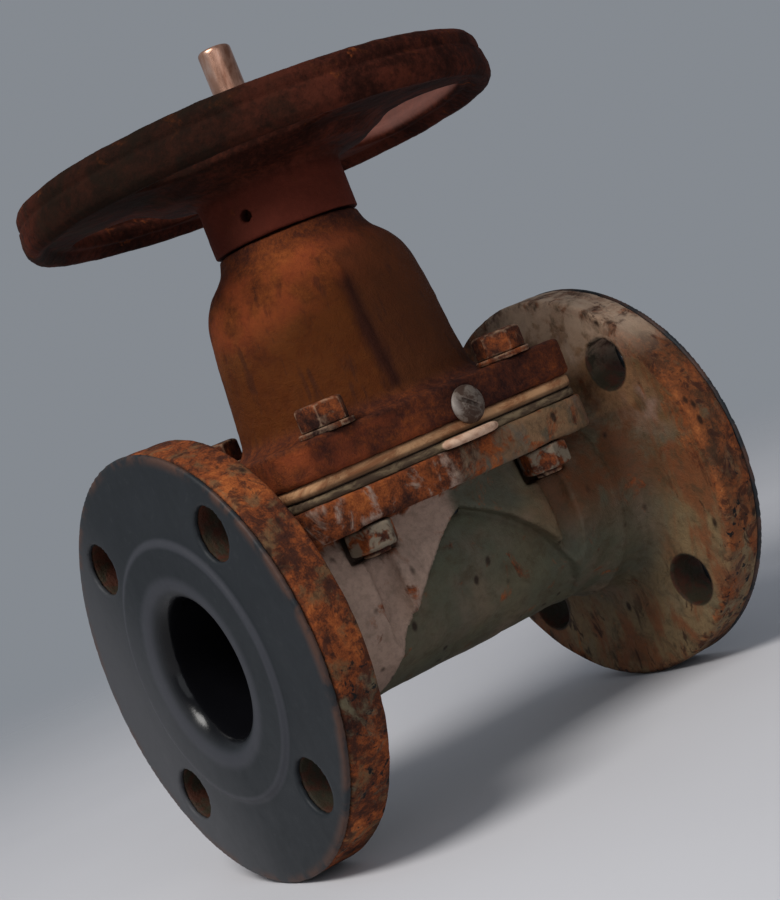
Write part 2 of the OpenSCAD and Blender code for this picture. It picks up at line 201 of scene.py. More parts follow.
def surface_net(values, start, step):
    """Quads round the zero level of the sampled field."""
    inside = values < 0
    nx, ny, nz = inside.shape
    count = np.zeros((nx - 1, ny - 1, nz - 1), np.uint8)
    corners = [(i, j, k) for i in (0, 1) for j in (0, 1) for k in (0, 1)]
    for i, j, k in corners:
        count += inside[i : nx - 1 + i, j : ny - 1 + j, k : nz - 1 + k]
    cell = np.argwhere((count > 0) & (count < 8))
    number = np.full(count.shape, -1, np.int32)
    number[tuple(cell.T)] = np.arange(len(cell))
    at = {c: values[tuple((cell + c).T)] for c in corners}
    total, hits = np.zeros((len(cell), 3)), np.zeros(len(cell))
    for a in corners:
        for axis in range(3):
            if a[axis]:
                continue
            b = tuple(1 if n == axis else a[n] for n in range(3))
            cross = (at[a] < 0) != (at[b] < 0)
            share = at[a] / np.where(cross, at[a] - at[b], 1)
            point = np.tile(np.array(a, float), (len(cell), 1))
            point[:, axis] = share
            total += point * cross[:, None]
            hits += cross
    points = start + step * (cell + total / hits[:, None])
    quads = []
    for axis in range(3):
        first = [slice(1, -1)] * 3
        second = [slice(1, -1)] * 3
        first[axis], second[axis] = slice(0, -1), slice(1, None)
        a, b = inside[tuple(first)], inside[tuple(second)]
        edge = np.argwhere(a != b)
        out = a[tuple(edge.T)]
        shift = np.ones(3, int)
        shift[axis] = 0
        edge = edge + shift
        u, v = np.zeros(3, int), np.zeros(3, int)
        u[(axis + 1) % 3], v[(axis + 2) % 3] = 1, 1
        ring = [number[tuple((edge - o).T)] for o in (u + v, v, 0 * u, u)]
        quad = np.stack(ring, 1)
        quads.append(np.where(out[:, None], quad, quad[:, ::-1]))
    return points, np.concatenate(quads)


def slope(field, p, reach=0.04):
    """Gradient of the field at the points, from four samples."""
    total = 0
    for d in ((1, -1, -1), (-1, -1, 1), (-1, 1, -1), (1, 1, 1)):
        q = p + reach * np.array(d)
        total = total + field(q[:, 0], q[:, 1], q[:, 2])[:, None] * np.array(d)
    return total / (4 * reach)


def settle(field, p, step):
    """Moves the points onto the surface itself."""
    for _ in range(3):
        g = slope(field, p)
        d = field(p[:, 0], p[:, 1], p[:, 2])
        move = g * (d / np.maximum((g * g).sum(1), 0.05))[:, None]
        size = np.linalg.norm(move, axis=1)
        move *= np.minimum(1, 0.5 * step / np.maximum(size, 1e-9))[:, None]
        p = p - move
    return p


def weather(field, p, waves, seed):
    """Pushes the points in and out along the surface by (height, size) waves of noise."""
    g = slope(field, p)
    g /= np.maximum(np.linalg.norm(g, axis=1), 1e-6)[:, None]
    for n, (height, size) in enumerate(waves):
        p = p + g * (height * hash_noise(p, size, seed + n))[:, None]
    return p


def make_mesh(name, points, quads):
    """A smooth-shaded object from millimetre points and quads."""
    mesh = bpy.data.meshes.new(name)
    mesh.vertices.add(len(points))
    mesh.vertices.foreach_set("co", (points * MM).astype(np.float32).ravel())
    mesh.loops.add(quads.size)
    mesh.loops.foreach_set("vertex_index", quads.astype(np.int32).ravel())
    mesh.polygons.add(len(quads))
    mesh.polygons.foreach_set("loop_start", np.arange(0, quads.size, 4, dtype=np.int32))
    mesh.polygons.foreach_set("use_smooth", np.ones(len(quads), bool))
    mesh.update(calc_edges=True)
    mesh.validate()
    obj = bpy.data.objects.new(name, mesh)
    bpy.context.scene.collection.objects.link(obj)
    return obj


def shape(field, low, high, step, centres=(None, None, None), waves=(), seed=1):
    """Points and quads of a field's surface."""
    values, start = sample(field, low, high, step, centres)
    points, quads = surface_net(values, start, step)
    points = settle(field, points, step)
    if waves:
        points = weather(field, points, waves, seed)
    return points, quads


def dress(obj, body, nodes, material):
    """The piece rides a body, stands for CAD nodes and takes its material."""
    if body:
        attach(obj, body)
    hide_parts(*nodes)
    obj.data.materials.append(material)
    return obj


def copies(part, places):
    """The same points and quads at several (x, y, turn, seed) places."""
    points, quads = part
    all_points, all_quads = [], []
    for n, (x, y, turn, seed) in enumerate(places):
        c, s = math.cos(turn), math.sin(turn)
        moved = points @ np.array([[c, s, 0], [-s, c, 0], [0, 0, 1]]) + np.array([x, y, 0])
        moved = moved + 0.05 * hash_noise(moved, 2.3, seed)[:, None]
        all_points.append(moved)
        all_quads.append(quads + n * len(points))
    return np.concatenate(all_points), np.concatenate(all_quads)


# ---- Fields of the pieces ----


def shoulder_planes(count=110):
    """Planes that touch both the pipe neck and the tower under the bonnet: (normals, offsets)."""
    angle = np.linspace(-math.pi / 2, math.pi / 2, count)
    ny, nz = np.cos(angle), np.sin(angle)
    low, high = np.full(count, -6.0), np.full(count, 6.0)
    near, far = HALF - NECK_END, HALF - LINING - IRON_T

    def reach(nx):
        neck = np.maximum(nx * near, nx * far) + NECK_R
        tower = TOWER_X * nx + TOWER_R * np.hypot(nx, ny) + np.maximum(TOWER_LOW * nz, TOWER_TOP * nz)
        return neck, tower

    for _ in range(50):
        middle = (low + high) / 2
        neck, tower = reach(middle)
        high = np.where(neck > tower, middle, high)
        low = np.where(neck > tower, low, middle)
    nx = (low + high) / 2
    size = np.sqrt(nx * nx + 1)
    return np.stack([nx, ny, nz], 1) / size[:, None], reach(nx)[0] / size


PLANES, OFFSETS = shoulder_planes()


def flow_field(u, y, z, r, grow):
    """The lined passage: bore and oval well less the weir, grown by the lining."""
    well = np.maximum(stadium(u, y, WELL_L + 2 * grow, WELL_W + 2 * grow), -z)
    weir = np.hypot(u, z - WEIR_Z + WEIR_R) - (WEIR_R - grow)
    return smax(smin(r - BORE_R - grow, well, 3), -weir, 2)


def pipe_holes(y, z, radius):
    k = PIPE_HOLE_AT * math.sqrt(0.5)
    return np.hypot(np.abs(y) - k, np.abs(z) - k) - radius


def body_field(x, y, z):
    u, v, r = np.abs(x - STEM), np.abs(y), np.hypot(y, z)
    e = HALF - u
    iron = both(slab(e, LINING, LINING + IRON_T), r - FLANGE_R, 1.6)
    neck = both(slab(e, LINING, NECK_END), r - NECK_R, 2.0)
    hull = u - (HALF - NECK_END + 1)
    for n, offset in zip(PLANES, OFFSETS):
        hull = np.maximum(hull, n[0] * u + n[1] * v + n[2] * z - offset)
    hull = np.maximum(hull, z - SEAT_Z - 4)
    top = both(both(u - COVER_HALF_X, v - COVER_HALF_Y, CORNER_R), slab(z, SEAT_Z, PAD_Z), 1.5)
    arch = RECESS_R - np.hypot(u + RECESS_AT[0], z + RECESS_AT[1])
    swell = 2.5 + 3.2 * np.clip((HALF - NECK_END - u) / 30, 0, 1)
    swell = BARREL_R + swell * np.clip((z + 35) / 14, 0, 1)
    flank = both(slab(e, LINING, 3 * HALF), np.maximum(r - swell, z - SEAT_Z), 1.0)
    full = smax(smin(smin(neck, flank, 3), hull, 2.5), arch, 0.7)
    side = RECESS_LOW + (RECESS_Y - RECESS_LOW) * np.clip((z + 10) / 9, 0, 1)
    web = both(slab(e, LINING, 3 * HALF), smax(r - BARREL_R, v - side, 3.0), 1.0)
    d = smin(smin(full, web, 1.5), top, 4)
    d = smin(d, iron, 11)
    spot = both(np.hypot(u - BOLT_X, v - BOLT_Y) - SPOT_R, slab(z, SPOT_Z, SEAT_Z + 0.2), 1.0)
    d = smax(d, -spot, 1.2)
    d = np.maximum(d, -flow_field(u, y, z, r, LINING))
    d = np.maximum(d, -np.maximum(e - LINING - 9, r - BORE_R - BELL_R - LINING))
    d = smax(d, -np.maximum(pipe_holes(y, z, PIPE_HOLE_R), e - 30), 0.5)
    d = np.maximum(d, BOLT_HOLE_R - np.hypot(u - BOLT_X, v - BOLT_Y))
    return np.maximum(d, LINING - e)


def lining_field(x, y, z):
    x, y, z = np.broadcast_arrays(x, y, z)
    u, r = np.abs(x - STEM), np.hypot(y, z)
    e = HALF - u
    sleeve = np.maximum(flow_field(u, y, z, r, LINING), z - DIAPHRAGM_Z)
    sleeve = np.maximum(sleeve, LINING - e)
    disc = both(slab(e, RAISED_H, LINING), r - FLANGE_R, 0.8)
    raised = both(slab(e, 0, LINING), r - RAISED_R, 0.9)
    seat = np.maximum(slab(e, LINING - 0.5, LINING + 9), r - BORE_R - BELL_R - LINING)
    pad = both(u - COVER_HALF_X + 1, np.abs(y) - COVER_HALF_Y + 1, CORNER_R)
    pad = both(pad, slab(z, PAD_Z, DIAPHRAGM_Z), 1.0)
    out = np.hypot((x - TAB_X) / TAB_HALF, (y + COVER_HALF_Y) / TAB_REACH)
    tab = both((out - 1) * TAB_REACH, slab(z, PAD_Z, DIAPHRAGM_Z), 1.4)
    pad = smin(pad, np.maximum(tab, y + COVER_HALF_Y - 2.4), 0.8)
    d = np.minimum(np.minimum(sleeve, seat), np.minimum(smin(disc, raised, 1.6), pad))
    bell = BELL_R - np.hypot(e - BELL_R, r - BORE_R - BELL_R)
    bell = np.maximum(np.maximum(bell, e - BELL_R), r - BORE_R - BELL_R)
    d = smax(d, -flow_field(u, y, z, r, 0), 0.4)
    d = np.maximum(d, -bell)
    d = smax(d, -np.maximum(pipe_holes(y, z, PIPE_HOLE_R), e - 6), 0.5)
    hole = np.minimum(BOLT_HOLE_R - np.hypot(u - BOLT_X, np.abs(y) - BOLT_Y), z - PAD_Z + 2)
    return np.maximum(d, hole)


def smooth_rings(rings, low, high):
    """A fine table of (z, half length, half width) with the corners rounded off."""
    z = np.arange(low, high, 0.25)
    kernel = np.exp(-0.5 * (np.arange(-16, 17) * 0.25 / 1.3) ** 2)
    kernel /= kernel.sum()
    table = []
    for column in (1, 2):
        line = np.interp(z, [q[0] for q in rings], [q[column] for q in rings])
        table.append(np.convolve(np.pad(line, 16, mode="edge"), kernel, "valid"))
    return z, table[0], table[1]


DOME = smooth_rings(
    [
        (55, 47, 40), (60, 47, 40), (63.5, 46, 38.8), (75, 44.7, 37.4), (90, 43.4, 36.2),
        (100, 42.2, 35.2), (107, 40.9, 34.2), (112, 39.3, 32.8), (116.5, 36.2, 31.2),
        (120.5, 31.0, 28.6), (124, 27.8, 27.2), (127, 26.8, 26.7), (130, 26.5, 26.5),
    ],
    50, 134,
)
SEAM_X = -8.0
CAVITY = smooth_rings(
    [
        (40, 41, 34), (48, 41, 34), (75, 38.6, 31.4), (95, 37, 30), (104, 34, 28.4), (110, 29.5, 26),
        (118, 20, 19),
    ],
    40, 122,
)


def oval(x, y, z, table):
    a = np.interp(z, table[0], table[1])
    b = np.interp(z, table[0], table[2])
    return (np.hypot(x / a, y / b) - 1) * b


def bonnet_field(x, y, z):
    u, v = np.abs(x - STEM), np.abs(y)
    r = np.hypot(x - STEM, y)
    plate = both(both(u - COVER_HALF_X, v - COVER_HALF_Y, CORNER_R), slab(z, COVER_Z, WASHER_Z), 1.7)
    dome = smax(oval(u, v, z, DOME), slab(z, COVER_Z, 128.7), 1.5)
    ridge = np.maximum(np.abs(x - STEM - SEAM_X) - 0.5, slab(z, 60, 112))
    dome = smin(dome, np.maximum(ridge + 0.4, dome - 1.0), 1.8)
    neck = both(r - GLAND_R, slab(z, 120, GLAND_TOP), 0.8)
    d = smin(smin(plate, dome, 6), neck, 1.5)
    hollow = smax(oval(u, v, z, CAVITY), z - 114, 2.0)
    rib = np.maximum(slab(v, *RIB_Y), slab(z, COVER_Z + 1, 113))
    rib = np.maximum(np.maximum(rib, slab(u, *RIB_X)), oval(u, v, z, DOME))
    d = np.maximum(d, -np.maximum(hollow, -rib))
    d = np.maximum(d, -np.maximum(r - BUSH_R, z - GLAND_FLOOR - 1))
    d = np.maximum(d, -np.maximum(r - BEARING_R, GLAND_FLOOR - z))
    return np.maximum(d, BOLT_HOLE_R - np.hypot(u - BOLT_X, v - BOLT_Y))


def polygon_distance(corners, r, z):
    """Signed distance to a closed outline in the half section."""
    best, inside = np.full(r.shape, 1e9), np.zeros(r.shape, bool)
    for (ax, ay), (bx, by) in zip(corners, corners[1:] + corners[:1]):
        ex, ey = bx - ax, by - ay
        t = np.clip(((r - ax) * ex + (z - ay) * ey) / (ex * ex + ey * ey), 0, 1)
        best = np.minimum(best, np.hypot(r - ax - t * ex, z - ay - t * ey))
        crossing = (ay > z) != (by > z)
        inside ^= crossing & (r < ex * (z - ay) / (ey if ey else 1e-9) + ax)
    return np.where(inside, -best, best)


WEB_Z, WEB_T, RIM_Z, HUB_Z, HUB_T = 156.0, 4.5, 152.5, 147.5, 7.0
TABLE_STEP = 0.2


def wheel_outline():
    w, rim = WHEEL_R, WHEEL_R - 7
    return [
        (22, SKIRT_Z), (27, SKIRT_Z), (27, HUB_Z + 1), (30, HUB_Z + 3), (40, WEB_Z - 4), (46, WEB_Z - 0.8),
        (50, WEB_Z), (rim - 1, WEB_Z), (rim + 0.5, WEB_Z - 1.5), (rim + 1, RIM_Z + 1.5), (rim + 3, RIM_Z),
        (w - 2, RIM_Z), (w - 0.4, RIM_Z + 2), (w, RIM_Z + 5), (w - 0.6, RIM_Z + 9.6), (w - 1.5, RIM_Z + 10.4),
        (w - 1.5, RIM_Z + 11.0), (w - 1.1, RIM_Z + 12), (w - 1.3, RIM_TOP - 2.6), (w - 2.6, RIM_TOP - 0.7),
        (w - 4.4, RIM_TOP), (w - 6.6, RIM_TOP - 0.5), (rim - 1.2, RIM_TOP - 2.8),
        (rim - 2, WEB_Z + WEB_T + 1),
        (rim - 4, WEB_Z + WEB_T), (48, WEB_Z + WEB_T), (42, WEB_Z + WEB_T - 1.5), (31, HUB_Z + HUB_T),
        (0, HUB_Z + HUB_T), (0, HUB_Z), (22, HUB_Z),
    ]


R_AXIS = np.arange(0, WHEEL_R + 4, TABLE_STEP)
Z_AXIS = np.arange(SKIRT_Z - 4, RIM_TOP + 4, TABLE_STEP)
WHEEL_TABLE = polygon_distance(wheel_outline(), *np.meshgrid(R_AXIS, Z_AXIS, indexing="ij"))


def lookup(r, z):
    a = np.clip(r / TABLE_STEP, 0, len(R_AXIS) - 1.001)
    b = np.clip((z - Z_AXIS[0]) / TABLE_STEP, 0, len(Z_AXIS) - 1.001)
    a, b = np.broadcast_arrays(a, b)
    i, j = a.astype(int), b.astype(int)
    f, g = a - i, b - j
    t = WHEEL_TABLE
    return (t[i, j] * (1 - f) + t[i + 1, j] * f) * (1 - g) + (t[i, j + 1] * (1 - f) + t[i + 1, j + 1] * f) * g


def slot_distance(x, y):
    """Three kidney slots, seen along the spindle."""
    mid, end = (SLOT_IN + SLOT_OUT) / 2, (SLOT_OUT - SLOT_IN) / 2
    half = SLOT_HALF - math.asin(end / mid)
    best = 1e9
    for k in range(3):
        a = math.radians(SLOT_TURN + 120 * k)
        px, py = x * math.cos(a) + y * math.sin(a), -x * math.sin(a) + y * math.cos(a)
        angle = np.arctan2(py, px)
        close = np.clip(angle, -half, half)
        d = np.hypot(px - mid * np.cos(close), py - mid * np.sin(close)) - end
        best = np.minimum(best, d)
    return best


def wheel_field(x, y, z):
    x = x - STEM
    r = np.hypot(x, y)
    d = lookup(r, z) - 0.25
    d = smax(d, -np.maximum(slot_distance(x, y), slab(z, WEB_Z - 6, RIM_TOP + 5)), 1.5)
    d = np.maximum(d, WHEEL_BORE_R - r)
    along = x * math.cos(GREASE_ANGLE) + y * math.sin(GREASE_ANGLE)
    across = -x * math.sin(GREASE_ANGLE) + y * math.cos(GREASE_ANGLE)
    hole = np.maximum(np.hypot(across, z - GREASE_Z) - GREASE_R, 15 - along)
    return smax(d, -hole, 0.6)


def bolt_field(x, y, z):
    r = np.hypot(x, y)
    head = both(hexagon(x, y, HEX_FLAT), slab(z, HEAD_Z, HEAD_TOP), 0.5)
    head = smax(head, (z - HEAD_TOP + 0.3) * 0.87 + (r - HEX_FLAT) * 0.5, 0.5)
    shank = both(r - BOLT_R, slab(z, STUB_Z, HEAD_Z + 1), 0.7)
    return np.minimum(head, shank)


def washer_field(x, y, z):
    r = np.hypot(x, y)
    return both(np.maximum(r - WASHER_R, BOLT_HOLE_R - r), slab(z, WASHER_Z, HEAD_Z), 0.5)


def nut_shape(x, y, z, low, high, flat, bore, edge=0.5):
    r = np.hypot(x, y)
    d = both(hexagon(x, y, flat), slab(z, low, high), edge)
    for height in (z - high, low - z):
        d = smax(d, height * 0.87 + (r - flat + 0.2) * 0.5, 0.5)
    return np.maximum(d, bore - r)


def diaphragm_field(x, y, z):
    u, v = np.abs(x - STEM), np.abs(y)
    low, high = DIAPHRAGM_Z, COVER_Z
    edge = both(both(u - COVER_HALF_X + 0.9, v - COVER_HALF_Y + 0.9, CORNER_R), slab(z, low, high), 1.9)
    well = stadium(u, v, WELL_L, WELL_W)
    rim = smax(edge, -well, 0.6)
    rise = np.clip((1.5 - well) / 7, 0, 1)
    middle = high - 0.6 + 2.4 * rise * rise * (3 - 2 * rise)
    sheet = np.maximum(np.abs(z - middle) - 0.6, well - 2)
    d = np.minimum(rim, sheet)
    return np.maximum(d, BOLT_HOLE_R - np.hypot(u - BOLT_X, v - BOLT_Y))


TAG_X, TAG_Z = (TAG_LOW[0] + TAG_HIGH[0]) / 2, (TAG_LOW[2] + TAG_HIGH[2]) / 2
TAG_R = (TAG_HIGH[0] - TAG_LOW[0]) / 2


def tag_field(x, y, z):
    r = np.hypot(x - TAG_X, z - TAG_Z)
    head = both(r - TAG_R, slab(y, TAG_LOW[1], -COVER_HALF_Y), 0.8)
    crown = np.sqrt(r * r + (y - TAG_LOW[1] - 11) ** 2) - 11
    head = smax(head, crown, 0.8)
    slant = (x - TAG_X) * 0.6 + (z - TAG_Z) * 0.8
    head = smax(head, -both(np.abs(slant) - 0.7, y - TAG_LOW[1] - 1.3, 0.3), 0.5)
    shank = both(r - 2.0, slab(y, -COVER_HALF_Y - 1, TAG_HIGH[1]), 0.3)
    return np.minimum(head, shank)


def spindle_field(x, y, z):
    r = np.hypot(x - STEM, y)
    d = both(r - SPINDLE_R, slab(z, SPINDLE_FOOT, SPINDLE_TOP), 0.4)
    return smax(d, (z - SPINDLE_TOP + r - SPINDLE_R + 0.9) * 0.707, 0.4)


# ---- Materials: colours are linear, sizes and places are in millimetres ----


class Finish:
    """A procedural material: its sockets are in millimetres of the piece's own coordinates."""

    def __init__(self, name, **constants):
        self.material = bpy.data.materials.new(name)
        self.material.use_nodes = True
        self.tree = self.material.node_tree
        self.shader = self.tree.nodes["Principled BSDF"]
        where = self.tree.nodes.new("ShaderNodeTexCoord").outputs["Object"]
        self.p = self.vector("MULTIPLY", where, (1 / MM,) * 3)
        self.x, self.y, self.z = self.node("ShaderNodeSeparateXYZ", Vector=self.p).outputs
        for socket, value in constants.items():
            self.shader.inputs[socket.replace("_", " ")].default_value = value

    def put(self, socket, value):
        if isinstance(value, bpy.types.NodeSocket):
            self.tree.links.new(value, socket)
        elif socket.type == "RGBA" and len(value) == 3:
            socket.default_value = (*value, 1)
        else:
            socket.default_value = value

    def node(self, kind, settings=None, **inputs):
        n = self.tree.nodes.new(kind)
        for name, value in (settings or {}).items():
            setattr(n, name, value)
        for name, value in inputs.items():
            self.put(n.inputs[name.replace("_", " ")], value)
        return n

    def vector(self, operation, a, b):
        n = self.node("ShaderNodeVectorMath", {"operation": operation})
        self.put(n.inputs[0], a)
        self.put(n.inputs[1], b)
        return n.outputs["Value" if operation == "LENGTH" else "Vector"]

    def math(self, operation, a, b=0.0, clamp=False):
        n = self.node("ShaderNodeMath", {"operation": operation, "use_clamp": clamp})
        self.put(n.inputs[0], a)
        self.put(n.inputs[1], b)
        return n.outputs[0]

    def add(self, *terms):
        total = terms[0]
        for t in terms[1:]:
            total = self.math("ADD", total, t)
        return total

    def times(self, *terms):
        total = terms[0]
        for t in terms[1:]:
            total = self.math("MULTIPLY", total, t)
        return total

    def weigh(self, base, *terms):
        """The base plus, for each term, the product of its weight and its masks."""
        return self.add(base, *(self.times(*masks, weight) for weight, *masks in terms))

    def flip(self, a):
        return self.math("SUBTRACT", 1.0, a, clamp=True)

    def span(self, value, low, high):
        """0 below low, 1 above high, smooth between; low may be the larger."""
        settings = {"interpolation_type": "SMOOTHSTEP", "clamp": True}
        n = self.node("ShaderNodeMapRange", settings, Value=value, From_Min=low, From_Max=high)
        return n.outputs["Result"]

    def close(self, value, place, full, none):
        """1 where the value is within full of the place, 0 beyond none."""
        return self.flip(self.span(self.math("ABSOLUTE", self.add(value, -place)), full, none))

    def radius(self, across, centre=(0, 0, 0)):
        """Distance from an axis through the centre; across is 0 along that axis."""
        at = self.vector("SUBTRACT", self.p, centre)
        return self.vector("LENGTH", self.vector("MULTIPLY", at, across), (0, 0, 0))

    def noise(self, size, detail=3.0, rough=0.55, bend=0.0, stretch=(1, 1, 1), offset=0.0):
        at = self.vector("MULTIPLY", self.p, tuple(1 / (size * s) for s in stretch))
        if offset:
            at = self.vector("ADD", at, (offset, offset * 1.7, -offset))
        look = {"Scale": 1.0, "Detail": detail, "Roughness": rough, "Distortion": bend}
        return self.node("ShaderNodeTexNoise", None, Vector=at, **look).outputs["Fac"]

    def blotch(self, low, high, size, *shape, **more):
        """Patches of noise: 0 where the noise is below low, 1 where it is above high."""
        return self.span(self.noise(size, *shape, **more), low, high)

    def cells(self, size, offset=0.0, stretch=(1, 1, 1)):
        """Distance to scattered points, 0 at each point."""
        at = self.vector("MULTIPLY", self.p, tuple(1 / (size * s) for s in stretch))
        at = self.vector("ADD", at, (offset, -offset, offset * 0.6))
        return self.node("ShaderNodeTexVoronoi", None, Vector=at, Scale=1.0).outputs["Distance"]

    def mix(self, share, a, b):
        n = self.node("ShaderNodeMix", {"data_type": "RGBA"})
        self.put(n.inputs["Factor"], share)
        colours = [i for i in n.inputs if i.type == "RGBA"]
        self.put(colours[0], a)
        self.put(colours[1], b)
        return [o for o in n.outputs if o.type == "RGBA"][0]

    def tint(self, under, tone, *shares):
        """The tone laid over what is under it, as densely as the product of the shares."""
        return self.mix(self.times(*shares), under, tone)

    def tones(self, value, *stops):
        """Colour ramp: stops are (place, colour)."""
        n = self.node("ShaderNodeValToRGB", None, Fac=value)
        ramp = n.color_ramp
        while len(ramp.elements) < len(stops):
            ramp.elements.new(0.5)
        for element, (place, colour) in zip(ramp.elements, stops):
            element.position = place
            element.color = (*colour, 1)
        return n.outputs["Color"]

    def edges(self, low=0.52, high=0.6):
        """Where the mesh turns outwards sharply."""
        return self.span(self.node("ShaderNodeNewGeometry").outputs["Pointiness"], low, high)

    def nooks(self, reach):
        """1 in corners and joints narrower than about this many millimetres."""
        n = self.node("ShaderNodeAmbientOcclusion", {"samples": 6}, Distance=reach * MM)
        return self.flip(self.span(n.outputs["AO"], 0.25, 0.9))

    def finish(self, colour, roughness, *bumps):
        """Wires colour and roughness, and a chain of (height, depth in mm, strength) bumps."""
        self.put(self.shader.inputs["Base Color"], colour)
        self.put(self.shader.inputs["Roughness"], roughness)
        normal = None
        for height, depth, strength in bumps:
            n = self.node("ShaderNodeBump", None, Height=height, Distance=depth * MM, Strength=strength)
            if normal:
                self.put(n.inputs["Normal"], normal)
            normal = n.outputs["Normal"]
        if normal:
            self.put(self.shader.inputs["Normal"], normal)
        return self.material


RUST_STOPS = (
    (0.34, (0.020, 0.007, 0.005)), (0.44, (0.070, 0.020, 0.009)), (0.54, (0.22, 0.054, 0.015)),
    (0.64, (0.38, 0.105, 0.026)), (0.76, (0.40, 0.19, 0.08)),
)
# The last colour on the next line is painted shade for the arched recess.
OLIVE, GREY_GREEN, RECESS_SHADE_GREEN = (0.125, 0.100, 0.058), (0.082, 0.080, 0.056), (0.078, 0.080, 0.050)
# The second colour on the next line is a painted highlight for the near flank.
DULL_PINK, FLANK_HIGHLIGHT_PINK, LILAC = (0.190, 0.120, 0.088), (0.400, 0.265, 0.205), (0.31, 0.20, 0.155)
EARTH, KHAKI, BLUSH = (0.150, 0.078, 0.032), (0.235, 0.165, 0.085), (0.185, 0.052, 0.018)
ROOT_BROWN, OCHRE, DUST = (0.118, 0.040, 0.015), (0.24, 0.125, 0.060), (0.135, 0.080, 0.038)
# Both colours on the next line are painted highlight for the top of the outlet flange.
TOP_HIGHLIGHT_CREAM, TOP_HIGHLIGHT_CHALK = (0.55, 0.37, 0.25), (0.52, 0.36, 0.25)
GRIME, SOOT, BLOT = (0.060, 0.042, 0.022), (0.050, 0.036, 0.022), (0.040, 0.014, 0.009)
PIT, STAIN = (0.020, 0.010, 0.006), (0.032, 0.013, 0.007)
# The second colour on the next line is painted shade for corners.
CHIP, NOOK_SHADE = (0.010, 0.009, 0.009), (0.022, 0.012, 0.007)
# Dark hole tones on the next line: part rust, part painted shade.
HOLE_SHADE_GREEN, HOLE_SHADE_BROWN = (0.026, 0.022, 0.013), (0.052, 0.016, 0.009)
NEAR_RIM_X = 20.0
RIM_IN, RIM_OUT = 70.5, 75.5


def rust_tones(f, offset=0.0, shift=0.0):
    """Mottled rust: dark scale, brown, orange and a few pale grains."""
    broad = f.noise(17, 4, 0.6, 0.4, offset=offset)
    fine = f.noise(2.6, 4, 0.65, offset=offset + 3)
    grain = f.noise(0.7, 2, 0.6, offset=offset + 7)
    level = f.weigh(shift - 0.07, (0.6, broad), (0.34, fine), (0.2, grain))
    return f.tones(level, *RUST_STOPS), fine, grain


def pipe_hole_wall(f):
    """1 on the walls of the eight pipe bolt holes."""
    k = PIPE_HOLE_AT * math.sqrt(0.5)
    away = [f.add(f.math("ABSOLUTE", c), -k) for c in (f.y, f.z)]
    radius = f.math("SQRT", f.add(*(f.times(a, a) for a in away)))
    return f.span(radius, PIPE_HOLE_R + 1.4, PIPE_HOLE_R + 0.4)


def barrel_paint(f, r):
    """Grey-green paint with pink patches, a painted highlight in pale pink on the near flank and painted
    shade in deeper green inside the arched recess.
    """
    paint = f.mix(f.blotch(0.36, 0.62, 34, 3, 0.5, 0.5), OLIVE, GREY_GREEN)
    paint = f.tint(paint, DULL_PINK, f.blotch(0.46, 0.70, 24, 3, 0.6, offset=5), 0.45)
    across = f.add(f.x, -STEM - RECESS_AT[0])
    above = f.add(f.z, RECESS_AT[1])
    arch = f.math("SQRT", f.add(f.times(across, across), f.times(above, above)))
    inboard = f.times(f.span(f.x, STEM, STEM - 6), f.span(f.x, NEAR_RIM_X - 1, NEAR_RIM_X + 4))
    # Painted highlight: pale pink on the near flank, left of the arched crease.
    flank = f.times(f.span(arch, RECESS_R - 0.8, RECESS_R + 1.2), inboard, f.span(f.y, 4, -10))
    paint = f.tint(paint, FLANK_HIGHLIGHT_PINK, flank, 0.80)
    # Painted shade: deeper green inside the arched recess.
    recess_shade = f.times(f.span(arch, RECESS_R + 0.4, RECESS_R - 1.2), f.span(r, BARREL_R + 6, BARREL_R + 2))
    return f.tint(paint, RECESS_SHADE_GREEN, recess_shade, f.blotch(0.30, 0.62, 17, 3, 0.5, offset=71), 0.7), flank


def outlet_paint(f, paint, r, back, crown):
    """Earth, khaki and pink tints on the back of the outlet flange, and a painted highlight in cream along
    its top.
    """
    haze = f.noise(15, 5, 0.62, 0.3, offset=44)
    paint = f.tint(paint, EARTH, back, f.span(haze, 0.26, 0.56), 0.92)
    paint = f.tint(paint, KHAKI, back, f.span(f.z, 5, -25), 0.6)
    paint = f.tint(paint, BLUSH, back, f.blotch(0.44, 0.62, 12, 4, 0.6, 0.5, (1, 1, 2.2), 81), 0.75)
    rosy = f.times(back, f.span(f.z, 6, 28), f.blotch(0.34, 0.54, 14, 3, 0.5, offset=84))
    paint = f.tint(paint, LILAC, rosy, f.span(r, 70, 62), 0.85)
    root = f.times(f.span(f.x, STEM + 12, STEM + 50), f.span(f.z, -16, 6), f.span(r, 62, 44))
    paint = f.tint(paint, ROOT_BROWN, root, f.span(haze, 0.34, 0.56), 0.9)
    return f.tint(paint, TOP_HIGHLIGHT_CREAM, crown, f.blotch(0.26, 0.50, 13, 3, 0.5, offset=47), 0.92)


def paint_dirt(f, paint, r, flank):
    """Ochre under the top flange, thin grime all over and a fine sooty mottle."""
    seat = f.times(f.span(f.z, SEAT_Z - 1, SEAT_Z + 2), f.span(f.x, STEM - 40, STEM + 40), f.span(r, 70, 66))
    paint = f.tint(paint, OCHRE, seat, f.blotch(0.36, 0.56, 10, 4, 0.6, 0.4, offset=73), 0.8)
    # Grime is thinner on the near flank, so that its painted highlight stays light.
    paint = f.tint(paint, GRIME, f.blotch(0.44, 0.74, 8, 5, 0.7, 0.6, offset=9), f.weigh(0.75, (-0.5, flank)))
    return f.tint(paint, SOOT, f.blotch(0.40, 0.68, 2.2, 3, 0.6, offset=52), 0.22)


